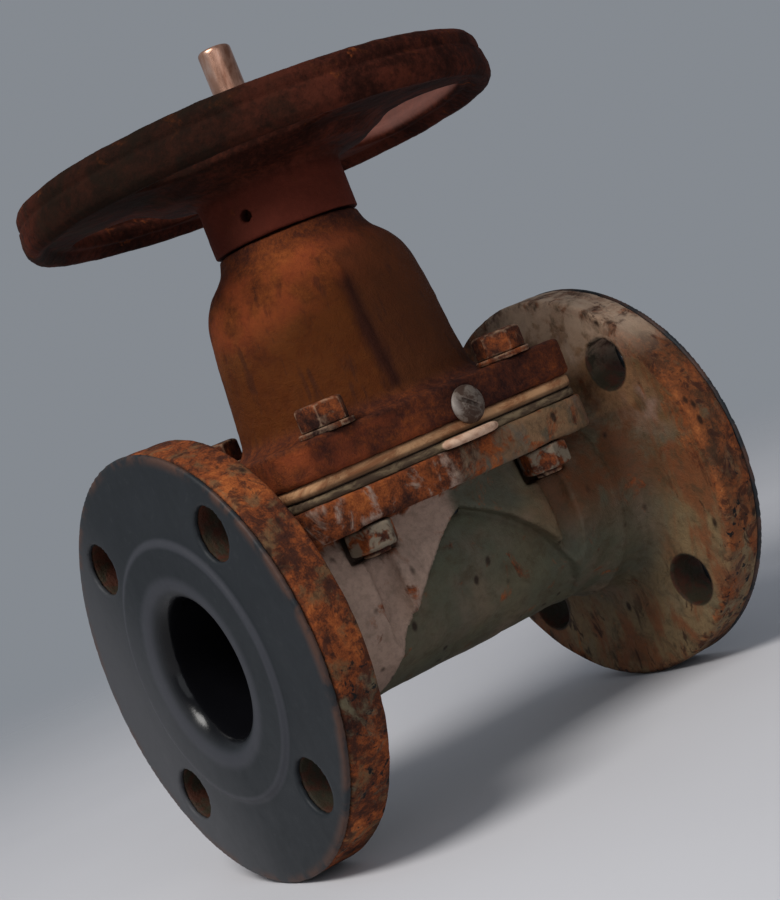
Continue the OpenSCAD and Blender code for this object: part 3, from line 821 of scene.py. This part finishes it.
def rusted_through(f, r, away, patches, rim, near_rim, far_top, crown):
    """Where rust has broken through: on the rims, on the top flange and on edges above all."""
    top_side = f.span(away, COVER_HALF_X + 5, COVER_HALF_X + 1)
    top_flange = f.times(f.span(f.z, SEAT_Z - 4, SEAT_Z + 1), top_side)
    left = f.span(f.x, STEM + 34, STEM - 34)
    join = f.times(f.span(f.x, NEAR_RIM_X + 12, NEAR_RIM_X), f.span(r, 36, 42), f.span(f.z, -34, 4))
    far_edge = f.times(f.span(r, 62, 74), f.span(f.x, STEM + 60, STEM + 74), f.span(f.z, -50, 0))
    runs = f.noise(5.5, 3, 0.6, 0.5, stretch=(1, 1, 4.5), offset=2)
    # Less rust on the crown keeps its painted highlight clear.
    need = f.weigh(
        0.63, (-0.10, rim), (-0.10, near_rim), (-0.05, top_flange), (-0.16, top_flange, left), (-0.15, join),
        (-0.115, far_edge), (-0.07, f.edges()), (-0.04, f.nooks(7)), (0.10, crown),
        (-0.10, far_top, f.span(f.y, 6, 32)),
    )
    return f.span(f.math("SUBTRACT", f.weigh(f.times(patches, 0.72), (0.28, runs)), need), -0.06, 0.07)


def rim_and_spot_marks(f, colour, r, rim, near_rim, back):
    """Dust and dark blots on the rims, pits, stains on the outlet flange's back and chipped rims."""
    colour = f.tint(colour, DUST, near_rim, f.blotch(0.50, 0.66, 9, 4, 0.62, 0.4, offset=58), 0.75)
    colour = f.tint(colour, BLOT, rim, f.blotch(0.50, 0.62, 6.5, 4, 0.7, 0.6, offset=63), 0.8)
    spots = f.flip(f.span(f.cells(6.5, 4.3, (1, 1, 1.7)), 0.10, 0.26))
    colour = f.tint(colour, PIT, spots, f.blotch(0.50, 0.60, 15, 2, 0.5, offset=21), 0.9)
    stain = f.times(back, f.blotch(0.59, 0.67, 6, 4, 0.6, 0.5, (1, 1, 2.5), 91), f.span(f.z, 20, -30))
    colour = f.tint(colour, STAIN, stain, 0.85)
    chips = f.times(f.blotch(0.60, 0.66, 3.4, 3, 0.6, 0.3, offset=31), f.span(r, RIM_IN + 1.5, RIM_OUT))
    return f.tint(colour, CHIP, chips, f.span(f.z, 30, -20))


def painted_iron():
    """Old grey-green paint gone pinkish and brown, rusted through on rims, edges and the top flange, with
    painted highlights on the near flank and the outlet flange's top and painted shade in the recess, the
    holes and the corners.
    """
    f = Finish("body_paint", Specular_IOR_Level=0.16)
    r = f.radius((0, 1, 1))
    away = f.math("ABSOLUTE", f.add(f.x, -STEM))
    back = f.times(f.span(r, 36, 58), f.span(f.x, STEM + 45, STEM + 72))
    far_top = f.times(f.span(f.z, 38, 60), f.span(f.x, STEM + 70, STEM + 84))
    # The crown is the top of the outlet flange, painted lighter as a highlight.
    crown = f.times(far_top, f.span(f.y, 32, 6))
    rim = f.times(f.span(r, RIM_IN, RIM_OUT), f.span(away, COVER_HALF_X + 2, COVER_HALF_X + 5))
    near_rim = f.times(rim, f.span(f.x, NEAR_RIM_X, NEAR_RIM_X - 2))
    # flank is the mask of the near flank's painted highlight.
    paint, flank = barrel_paint(f, r)
    paint = paint_dirt(f, outlet_paint(f, paint, r, back, crown), r, flank)
    rust, fine, grain = rust_tones(f)
    patches = f.noise(12, 5, 0.66, 0.8, offset=14)
    worn = rusted_through(f, r, away, patches, rim, near_rim, far_top, crown)
    colour = f.tint(paint, rust, worn, f.weigh(1.0, (-0.3, back)))
    colour = rim_and_spot_marks(f, colour, r, rim, near_rim, back)
    # The walls of the pipe bolt holes in dark green and brown: part rust, part painted shade.
    inside = f.mix(f.blotch(0.42, 0.62, 7, 4, 0.6, 0.4, offset=77), HOLE_SHADE_GREEN, HOLE_SHADE_BROWN)
    flange = f.span(away, COVER_HALF_X + 3, COVER_HALF_X + 5)
    colour = f.tint(colour, inside, pipe_hole_wall(f), flange, 0.95)
    # Painted highlight: chalk along the top of the outlet flange.
    colour = f.tint(colour, TOP_HIGHLIGHT_CHALK, crown, f.blotch(0.40, 0.54, 10, 4, 0.6, 0.3, offset=49), 0.85)
    # Painted shade: darker in corners and joints.
    colour = f.tint(colour, NOOK_SHADE, f.nooks(5), 0.72)
    flake = f.weigh(f.times(f.flip(worn), 0.35), (0.5, fine), (0.4, patches))
    return f.finish(colour, f.weigh(0.58, (0.26, worn), (0.12, grain)), (flake, 0.8, 0.8), (grain, 0.35, 0.7))


def lining_rubber():
    """Slate satin rubber with painted light, lighter towards the back and bottom of the face, a painted
    highlight on the raised ring and bell lip, and near-black painted shade in the glossy bore.
    """
    f = Finish("lining_rubber", Specular_IOR_Level=0.25)
    r = f.radius((0, 1, 1))
    slate = f.mix(f.noise(26, 4, 0.6, 0.4), (0.0115, 0.0140, 0.0165), (0.0195, 0.0230, 0.0270))
    # Painted light: the face is lighter towards the back and the bottom.
    slate = f.tint(slate, (0.078, 0.078, 0.084), f.span(f.weigh(f.y, (-0.35, f.z)), 5, 70), 0.75)
    # Painted highlight: lighter on the raised ring and the bell lip.
    ring = f.close(r, RAISED_R, 0.6, 2.2)
    lip_highlight = f.close(r, BORE_R + BELL_R - 1.0, 0.8, 4.5)
    slate = f.tint(slate, (0.070, 0.070, 0.084), f.math("MAXIMUM", ring, lip_highlight), 0.42)
    slate = f.tint(slate, (0.070, 0.073, 0.080), f.blotch(0.55, 0.75, 3.2, 5, 0.7, 0.5, offset=4), 0.18)
    brown = f.times(f.span(r, 72, 76), f.blotch(0.40, 0.6, 12, 4, 0.6, 0.5, offset=8))
    slate = f.tint(slate, (0.095, 0.044, 0.028), brown, 0.7)
    away = f.math("ABSOLUTE", f.add(f.x, -STEM))
    pad = f.times(f.span(f.z, PAD_Z - 2, PAD_Z), f.span(away, STEM - NEAR_RIM_X, STEM - NEAR_RIM_X - 10))
    speck = f.blotch(0.42, 0.60, 4, 5, 0.7, 0.4, stretch=(2.5, 1, 1), offset=27)
    slate = f.mix(pad, slate, f.mix(speck, (0.180, 0.125, 0.070), (0.070, 0.042, 0.024)))
    tab = f.times(pad, f.span(f.y, -COVER_HALF_Y + 0.4, -COVER_HALF_Y - 0.8))
    tan = f.mix(f.blotch(0.40, 0.7, 5, 4, 0.6, offset=13), (0.60, 0.40, 0.28), (0.36, 0.19, 0.12))
    slate = f.mix(tab, slate, tan)
    # Painted shade: near black inside the bore, which is also glossier.
    bore = f.times(f.span(r, 29.5, 25.2), f.span(f.z, PAD_Z - 2, PAD_Z - 8))
    haze = f.noise(8, 4, 0.6, 0.4, offset=12)
    rough = f.weigh(0.44, (0.20, haze), (-0.38, bore), (0.25, pad))
    bumps = (f.noise(11, 2, 0.4, 0.2, offset=6), 0.7, 0.5), (f.noise(0.8, 3, 0.6, offset=16), 0.05, 0.5)
    return f.finish(f.mix(bore, slate, (0.004, 0.004, 0.005)), rough, *bumps)


def bonnet_marks(f, colour, dome):
    """Painted shade to the right of the seam, a dark line along it, and drips."""
    # Painted shade: the dome is darker right of the seam, away from the light.
    seam_shade = f.times(f.span(f.x, STEM + SEAM_X - 0.5, STEM + SEAM_X + 2.5), dome, f.span(f.y, 20, -5))
    colour = f.tint(colour, (0.062, 0.019, 0.008), seam_shade, 0.55)
    streak = f.noise(4, 3, 0.6, 0.4, stretch=(1, 1, 5), offset=27)
    wander = f.times(f.add(streak, -0.5), 6.0)
    line = f.times(f.close(f.add(f.x, wander), STEM + SEAM_X, 0.6, 5.0), f.span(f.z, 110, 103))
    line = f.times(line, f.span(f.y, -10, -20), f.span(f.z, 60, 66))
    colour = f.tint(colour, (0.020, 0.005, 0.004), line, 0.8)
    return f.tint(colour, (0.034, 0.012, 0.008), f.span(streak, 0.56, 0.70), dome, 0.5)


def bonnet_iron():
    """Rough casting under rust: red at the shoulder, olive and brown below it, and a redder flange, with
    painted light on the left and painted shade low and right on the dome and in corners.
    """
    f = Finish("bonnet_iron", Specular_IOR_Level=0.12)
    lit = f.span(f.x, STEM + 6, STEM - 30)
    dome = f.times(f.span(f.z, 60, 66), f.span(f.z, 128, 112))
    shoulder = f.times(f.span(f.z, 86, 106), f.span(f.z, 126, 116))
    broad = f.noise(24, 3, 0.55, 0.5, offset=2)
    mottle = f.noise(6.0, 5, 0.7, 0.6, offset=6)
    fine = f.noise(1.6, 4, 0.7, offset=11)
    grain = f.noise(0.55, 2, 0.6, offset=17)
    # Painted light: the tones are lighter on the left, lit side.
    level = f.weigh(
        -0.155, (0.36, broad), (0.28, mottle), (0.28, fine), (0.12, grain), (0.060, lit), (0.045, shoulder)
    )
    colour = f.tones(
        level, (0.28, (0.024, 0.007, 0.005)), (0.37, (0.066, 0.017, 0.008)), (0.46, (0.150, 0.036, 0.010)),
        (0.56, (0.270, 0.068, 0.016)), (0.68, (0.38, 0.120, 0.030)), (0.80, (0.42, 0.21, 0.08)),
    )
    cloud = f.span(f.weigh(f.times(mottle, 0.5), (0.5, broad)), 0.42, 0.56)
    colour = f.tint(colour, (0.135, 0.058, 0.015), cloud, dome, f.span(f.z, 110, 92), 0.42)
    colour = f.tint(colour, (0.38, 0.075, 0.024), shoulder, f.blotch(0.36, 0.60, 13, 3, 0.5, offset=31), 0.5)
    # Painted shade: the dome darker towards its bottom and right side.
    slant = f.weigh(f.z, (-0.5, f.add(f.x, -STEM)))
    colour = f.tint(colour, (0.092, 0.022, 0.003), dome, f.span(slant, 124, 102), 0.80)
    colour = bonnet_marks(f, colour, dome)
    plate = f.blotch(0.46, 0.60, 9, 4, 0.6, 0.4, (2.5, 1, 1), 37)
    colour = f.tint(colour, (0.034, 0.009, 0.008), f.span(f.z, WASHER_Z - 2, WASHER_Z - 4), plate, 0.25)
    # Painted highlight: brighter red on the left of the flange.
    flange_highlight = f.times(f.span(f.z, WASHER_Z - 1, WASHER_Z - 3), f.blotch(0.36, 0.60, 15, 3, 0.5, offset=53), lit)
    colour = f.tint(colour, (0.30, 0.060, 0.018), flange_highlight, 0.5)
    # Painted shade: darker in corners.
    colour = f.tint(colour, (0.018, 0.006, 0.005), f.nooks(6), 0.5)
    colour = f.tint(colour, (0.27, 0.095, 0.04), f.edges(0.53, 0.62), 0.4)
    rough = f.weigh(0.70, (0.25, fine))
    return f.finish(colour, rough, (mottle, 1.1, 0.6), (fine, 0.45, 0.8), (grain, 0.25, 0.8))


def wheel_iron():
    """Dark maroon old enamel over cast iron, a little rust breaking out on the rim and edges, with painted
    shade on the near left and in corners.
    """
    f = Finish("wheel_iron", Specular_IOR_Level=0.02)
    r = f.radius((1, 1, 0), (STEM, 0, 0))
    broad = f.noise(28, 4, 0.6, 0.5, offset=3)
    fine = f.noise(2.4, 4, 0.65, offset=8)
    grain = f.noise(0.6, 2, 0.6, offset=12)
    base = f.tones(
        f.weigh(f.times(broad, 0.6), (0.35, fine), (0.1, grain)),
        (0.36, (0.010, 0.004, 0.003)), (0.50, (0.030, 0.009, 0.006)), (0.62, (0.078, 0.019, 0.011)),
    )
    skirt = f.times(f.span(f.z, HUB_Z + 4, HUB_Z - 4), f.span(r, 40, 30))
    base = f.tint(base, (0.135, 0.028, 0.017), skirt, 0.65)
    rust, _, _ = rust_tones(f, 40.0, -0.05)
    band = f.times(f.span(f.z, RIM_Z + 9.5, RIM_TOP - 1), f.span(r, WHEEL_R - 12, WHEEL_R - 4))
    side = f.span(r, WHEEL_R - 3, WHEEL_R - 1)
    inner = f.times(f.span(r, WHEEL_R - 13, WHEEL_R - 10), f.span(r, WHEEL_R - 4, WHEEL_R - 7))
    need = f.weigh(0.66, (-0.09, band), (-0.02, side), (-0.06, inner), (-0.06, f.edges()))
    worn = f.span(f.math("SUBTRACT", f.noise(9, 5, 0.68, 0.6, offset=19), need), -0.05, 0.07)
    colour = f.tint(base, rust, worn, 0.7)
    green = f.times(f.blotch(0.44, 0.62, 14, 4, 0.6, 0.5, offset=28), f.span(f.x, STEM - 10, STEM - 60))
    colour = f.tint(colour, (0.018, 0.014, 0.009), green, 0.55)
    # Painted shade: darker and more matt on the near left.
    near_left_shade = f.times(f.span(f.x, STEM - 12, STEM - 70), f.span(f.y, 30, -10))
    colour = f.tint(colour, (0.010, 0.007, 0.005), near_left_shade, 0.75)
    well = f.times(f.span(f.z, WEB_Z + 0.6, WEB_Z + 3), f.span(r, WHEEL_R - 2, WHEEL_R - 5))
    colour = f.tint(colour, (0.30, 0.14, 0.115), well, f.span(f.x, STEM, STEM + 30), 0.4)
    # Painted shade: darker in corners.
    colour = f.tint(colour, (0.009, 0.004, 0.004), f.nooks(5), 0.6)
    rough = f.weigh(0.58, (0.22, worn), (0.2, fine), (0.15, near_left_shade))
    swell = f.noise(5, 4, 0.6, offset=33)
    return f.finish(colour, rough, (swell, 0.9, 0.5), (fine, 0.35, 0.7), (grain, 0.15, 0.7))


def diaphragm_rubber():
    """Tan cloth-backed rubber, its edge dusted with rust."""
    f = Finish("diaphragm_rubber", Specular_IOR_Level=0.15)
    pale = f.mix(f.noise(12, 4, 0.6, 0.4), (0.40, 0.17, 0.070), (0.62, 0.38, 0.20))
    dirt = f.blotch(0.42, 0.64, 7, 5, 0.7, 0.6, stretch=(2.5, 1, 1), offset=6)
    colour = f.tint(pale, (0.19, 0.055, 0.020), dirt, 0.7)
    low = f.span(f.z, DIAPHRAGM_Z + 2.4, DIAPHRAGM_Z + 1.2)
    colour = f.tint(colour, (0.060, 0.036, 0.020), low, 0.7)
    seam = f.span(f.z, DIAPHRAGM_Z + 1.0, DIAPHRAGM_Z + 0.3)
    colour = f.tint(colour, (0.014, 0.009, 0.008), seam, 0.9)
    colour = f.tint(colour, (0.10, 0.028, 0.014), f.span(f.z, COVER_Z - 1.1, COVER_Z - 0.2), 0.6)
    fine = f.noise(0.9, 3, 0.6, offset=17)
    return f.finish(colour, f.weigh(0.68, (0.2, dirt)), (dirt, 0.5, 0.5), (fine, 0.12, 0.6))


def tag_metal():
    """Dull metal under grime, bright on its edges, with a painted highlight along the side that faces the
    inlet and painted shade in its corners.
    """
    f = Finish("tag_metal", Metallic=0.15, Specular_IOR_Level=0.3)
    grime = f.blotch(0.40, 0.60, 3.2, 4, 0.65, 0.5)
    colour = f.mix(grime, (0.16, 0.125, 0.10), (0.055, 0.030, 0.020))
    colour = f.tint(colour, (0.30, 0.25, 0.21), f.edges(0.52, 0.58), 0.6)
    # Painted highlight: the side facing the inlet is lighter.
    left = f.span(f.x, TAG_X - TAG_R + 3.5, TAG_X - TAG_R + 0.5)
    colour = f.tint(colour, (0.42, 0.37, 0.33), left, f.span(f.z, TAG_Z - 4, TAG_Z + 1), 0.6)
    # Painted shade: darker in corners.
    colour = f.tint(colour, (0.02, 0.015, 0.012), f.nooks(1.5), 0.8)
    return f.finish(colour, f.weigh(0.48, (0.3, grime)), (f.noise(1.0, 3), 0.15, 0.6))


def rusty_steel(name, light, shift, offset, share=0.5):
    """Rusted fastener, rubbed pale along its edges and in patches, with painted shade in its corners."""
    f = Finish(name, Specular_IOR_Level=0.14)
    rust, fine, grain = rust_tones(f, offset, shift)
    rub = f.times(f.edges(0.515, 0.56), f.blotch(0.40, 0.58, 3.5, 3, 0.6, offset=offset + 5))
    colour = f.tint(rust, light, rub, 0.55)
    patch = f.blotch(0.62 - 0.22 * share, 0.74 - 0.22 * share, 5.5, 3, 0.6, 0.4, offset=offset + 9)
    colour = f.tint(colour, light, patch, share)
    # Painted shade: darker in corners and joints.
    colour = f.tint(colour, (0.012, 0.006, 0.005), f.nooks(3), 0.6)
    return f.finish(colour, f.weigh(0.66, (-0.2, rub), (0.15, grain)), (fine, 0.45, 0.7), (grain, 0.2, 0.8))


def spindle_steel():
    """Bright drawn bar with fine turning lines and a coppery bloom."""
    f = Finish("spindle_steel", Metallic=0.9)
    bloom = f.noise(9, 4, 0.6, 0.5, stretch=(1, 1, 2.5))
    stops = (0.34, (0.26, 0.115, 0.070)), (0.52, (0.55, 0.30, 0.21)), (0.70, (0.76, 0.55, 0.45))
    colour = f.tones(bloom, *stops)
    stain = f.blotch(0.60, 0.72, 3, 4, 0.7, offset=5)
    colour = f.tint(colour, (0.16, 0.07, 0.04), stain, 0.6)
    lines = f.noise(1.2, 2, 0.6, stretch=(3, 3, 0.12))
    return f.finish(colour, f.weigh(0.24, (0.18, bloom), (0.2, stain)), (lines, 0.05, 0.5))


def plain_metal(name, dark, light, rough):
    f = Finish(name, Metallic=0.85)
    cloud = f.noise(6, 4, 0.6, 0.3)
    lines = f.noise(1.5, 2, 0.6, stretch=(3, 3, 0.15), offset=4)
    return f.finish(f.mix(cloud, dark, light), f.weigh(rough, (0.15, cloud)), (lines, 0.04, 0.5))


def inner_iron():
    f = Finish("inner_iron", Specular_IOR_Level=0.35)
    cloud, grain = f.noise(8, 4, 0.6, 0.3), f.noise(0.8, 3, 0.6, offset=3)
    colour = f.mix(cloud, (0.045, 0.040, 0.038), (0.13, 0.105, 0.09))
    return f.finish(colour, f.weigh(0.6, (0.2, grain)), (cloud, 0.6, 0.4), (grain, 0.25, 0.7))


def seal_rubber():
    f = Finish("seal_rubber")
    cloud = f.noise(3, 3)
    colour = f.mix(cloud, (0.012, 0.012, 0.013), (0.03, 0.03, 0.032))
    return f.finish(colour, f.weigh(0.4, (0.2, cloud)), (cloud, 0.05, 0.5))


# ---- Build the pieces ----

LOW_BODY = (FACE_LOW - 2, -FLANGE_R - 2, -FLANGE_R - 2)
HIGH_BODY = (FACE_HIGH + 2, FLANGE_R + 2, FLANGE_R + 2)
BODY, WHEEL, ROD = "valve_body", "wheel_assembly", "spindle_assembly"

waves = ((0.30, 17), (0.16, 5.5), (0.08, 2.2))
part = shape(body_field, LOW_BODY, HIGH_BODY, 1.15, (STEM, 0, None), waves, 11)
dress(make_mesh("valve_casting", *part), BODY, ["body_casting"], painted_iron())

part = shape(lining_field, LOW_BODY, HIGH_BODY, 1.25, waves=((0.06, 21), (0.03, 7)), seed=23)
dress(make_mesh("rubber_lining", *part), BODY, ["body_lining"], lining_rubber())

part = shape(
    bonnet_field, (0, 0, COVER_Z - 2), (STEM + COVER_HALF_X + 2, COVER_HALF_Y + 2, GLAND_TOP + 2), 1.1,
    (STEM, 0, None), ((0.32, 13), (0.16, 4.5), (0.09, 1.9)), 37,
)
dress(make_mesh("bonnet_casting", *part), BODY, ["bonnet"], bonnet_iron())

reach = WHEEL_R + 2
part = shape(
    wheel_field, (STEM - reach, -reach, SKIRT_Z - 2), (STEM + reach, reach, RIM_TOP + 2), 0.95,
    waves=((0.22, 15), (0.12, 5), (0.06, 2)), seed=41,
)
dress(make_mesh("slotted_handwheel", *part), WHEEL, ["handwheel"], wheel_iron())

places = [
    (STEM + sx * BOLT_X, sy * BOLT_Y, 0.35 + 1.3 * sx + 0.8 * sy, 50 + sx + 3 * sy)
    for sx in (-1, 1) for sy in (-1, 1)
]
part = copies(shape(bolt_field, (-10, -10, STUB_Z - 2), (10, 10, HEAD_TOP + 2), 0.62), places)
bolt_finish = rusty_steel("rusty_steel", (0.42, 0.27, 0.17), -0.06, 51.0, 0.25)
dress(make_mesh("cover_bolts", *part), BODY, ["bonnet_bolts"], bolt_finish)

part = copies(shape(washer_field, (-11, -11, WASHER_Z - 2), (11, 11, HEAD_Z + 2), 0.55), places)
dress(make_mesh("cover_washers", *part), BODY, ["bolt_washers"], bolt_finish)


def cover_nut(x, y, z):
    return nut_shape(x, y, z, NUT_Z + 0.2, SEAT_Z - 0.1, HEX_FLAT, BOLT_R + 0.05, 1.0)


part = copies(shape(cover_nut, (-10, -10, NUT_Z - 2), (10, 10, SEAT_Z + 2), 0.6), places)
nut_finish = rusty_steel("worn_nut_steel", (0.215, 0.175, 0.125), -0.02, 61.0, 0.85)
dress(make_mesh("cover_nuts", *part), BODY, ["bonnet_nuts"], nut_finish)


def hub_nut(x, y, z):
    return nut_shape(x, y, z, WHEEL_NUT_Z, WHEEL_NUT_TOP, HUB_NUT_FLAT, HUB_NUT_BORE)


part = shape(hub_nut, (-17, -17, WHEEL_NUT_Z - 2), (17, 17, WHEEL_NUT_TOP + 2), 0.7)
part = copies(part, [(STEM, 0, 0.3, 71)])
dress(make_mesh("hub_nut", *part), WHEEL, ["wheel_nut"], bolt_finish)


def hub_washer(x, y, z):
    r = np.hypot(x, y)
    return both(np.maximum(r - HUB_WASHER_R, HUB_WASHER_BORE - r), slab(z, WHEEL_WASHER_Z, WHEEL_NUT_Z), 0.5)


part = shape(hub_washer, (-17, -17, WHEEL_WASHER_Z - 2), (17, 17, WHEEL_NUT_Z + 2), 0.55)
part = copies(part, [(STEM, 0, 0, 73)])
dress(make_mesh("hub_washer", *part), WHEEL, ["wheel_washer"], bolt_finish)

low = (STEM - COVER_HALF_X - 2, -COVER_HALF_Y - 9, DIAPHRAGM_Z - 2)
high = (STEM + COVER_HALF_X + 2, COVER_HALF_Y + 2, COVER_Z + 5)
part = shape(diaphragm_field, low, high, 0.85, waves=((0.12, 9), (0.07, 3.5)), seed=81)
sheet_mesh = make_mesh("diaphragm_sheet", *part)
membrane = dress(sheet_mesh, None, ["diaphragm"], diaphragm_rubber())
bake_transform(membrane)

part = shape(tag_field, TAG_LOW - 2, TAG_HIGH + 2, 0.4)
dress(make_mesh("tag_button", *part), BODY, ["diaphragm_tag"], tag_metal())

part = shape(spindle_field, (STEM - 8, -8, SPINDLE_FOOT - 2), (STEM + 8, 8, SPINDLE_TOP + 2), 0.65)
dress(make_mesh("rising_spindle", *part), ROD, ["spindle"], spindle_steel())

brass = plain_metal("brass_part", (0.36, 0.24, 0.085), (0.60, 0.44, 0.19), 0.28)
steel = plain_metal("plain_steel", (0.30, 0.30, 0.31), (0.55, 0.56, 0.57), 0.25)
seal, iron = seal_rubber(), inner_iron()
for names, material in (
    (("diaphragm_stud", "spindle_bush", "lower_thrust_washer", "upper_thrust_washer", "drive_sleeve"), brass),
    (("bearing_retainer", "compressor_pin"), steel),
    (("spindle_seal", "sleeve_seal"), seal),
    (("compressor",), iron),
):
    for name in names:
        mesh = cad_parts[name].data
        mesh.materials.clear()
        mesh.materials.append(material)

# ---- Floor, light and camera ----


def floor_finish(fade_from, fade_to):
    """Matt pale floor that fades into the background away from the valve."""
    f = Finish("floor", Roughness=0.9)
    far = f.radius((1, 1, 0))
    shade = f.mix(f.noise(160, 2), (0.60, 0.595, 0.62), (0.66, 0.655, 0.68))
    f.put(f.shader.inputs["Base Color"], shade)
    f.put(f.shader.inputs["Alpha"], f.span(far, fade_to, fade_from))
    return f.material


def disc(name, centre, radius, sides=128):
    mesh = bpy.data.meshes.new(name)
    turns = [2 * math.pi * k / sides for k in range(sides)]
    ring = [(radius * math.cos(a), radius * math.sin(a), 0) for a in turns]
    mesh.from_pydata([(0, 0, 0)] + ring, [], [(0, k + 1, (k + 1) % sides + 1) for k in range(sides)])
    obj = bpy.data.objects.new(name, mesh)
    obj.location = centre
    bpy.context.scene.collection.objects.link(obj)
    return obj


floor = disc("floor", (STEM * MM, 0, -FLANGE_R * MM - 0.0004), 1.4)
floor.data.materials.append(floor_finish(260, 1250))

world = bpy.data.worlds.new("soft_room")
bpy.context.scene.world = world
world.use_nodes = True
sky = world.node_tree.nodes["Background"]
sky.inputs["Color"].default_value = (0.30, 0.325, 0.36, 1)
sky.inputs["Strength"].default_value = 0.78
bpy.context.scene.view_settings.view_transform = "Standard"

TARGET = Vector((STEM * MM, 0, 0.05))


def soft_light(name, offset, size, power, colour):
    lamp = bpy.data.lights.new(name, "AREA")
    lamp.shape, lamp.size, lamp.energy, lamp.color = "DISK", size, power, colour
    obj = bpy.data.objects.new(name, lamp)
    obj.location = TARGET + Vector(offset)
    obj.rotation_mode = "QUATERNION"
    obj.rotation_quaternion = (TARGET - obj.location).to_track_quat("-Z", "Y")
    bpy.context.scene.collection.objects.link(obj)


soft_light("key", (-0.95, -0.35, 1.15), 0.7, 18.0, (1.0, 0.98, 0.95))
soft_light("fill", (-0.5, -1.4, 0.3), 1.2, 3.0, (0.92, 0.96, 1.0))

# The camera stands in front of the inlet end, level with the bonnet flange, and is rolled
# because the valve lay tilted when it was photographed.
CAMERA_AT = (STEM * MM - 0.36571, -0.55282, 0.06412)
CAMERA_TURN, CAMERA_RISE, CAMERA_ROLL = math.radians(33.912), math.radians(-1.789), math.radians(-22.072)
LENS = 73.46

camera = bpy.data.objects.new("camera", bpy.data.cameras.new("camera"))
bpy.context.scene.collection.objects.link(camera)
bpy.context.scene.camera = camera
camera.location = CAMERA_AT
look = Vector((
    math.sin(CAMERA_TURN) * math.cos(CAMERA_RISE),
    math.cos(CAMERA_TURN) * math.cos(CAMERA_RISE),
    math.sin(CAMERA_RISE),
))
camera.rotation_mode = "QUATERNION"
camera.rotation_quaternion = look.to_track_quat("-Z", "Y") @ Quaternion((0, 0, 1), CAMERA_ROLL)
camera.data.lens, camera.data.sensor_width = LENS, 36
camera.data.clip_start, camera.data.clip_end = 0.01, 20
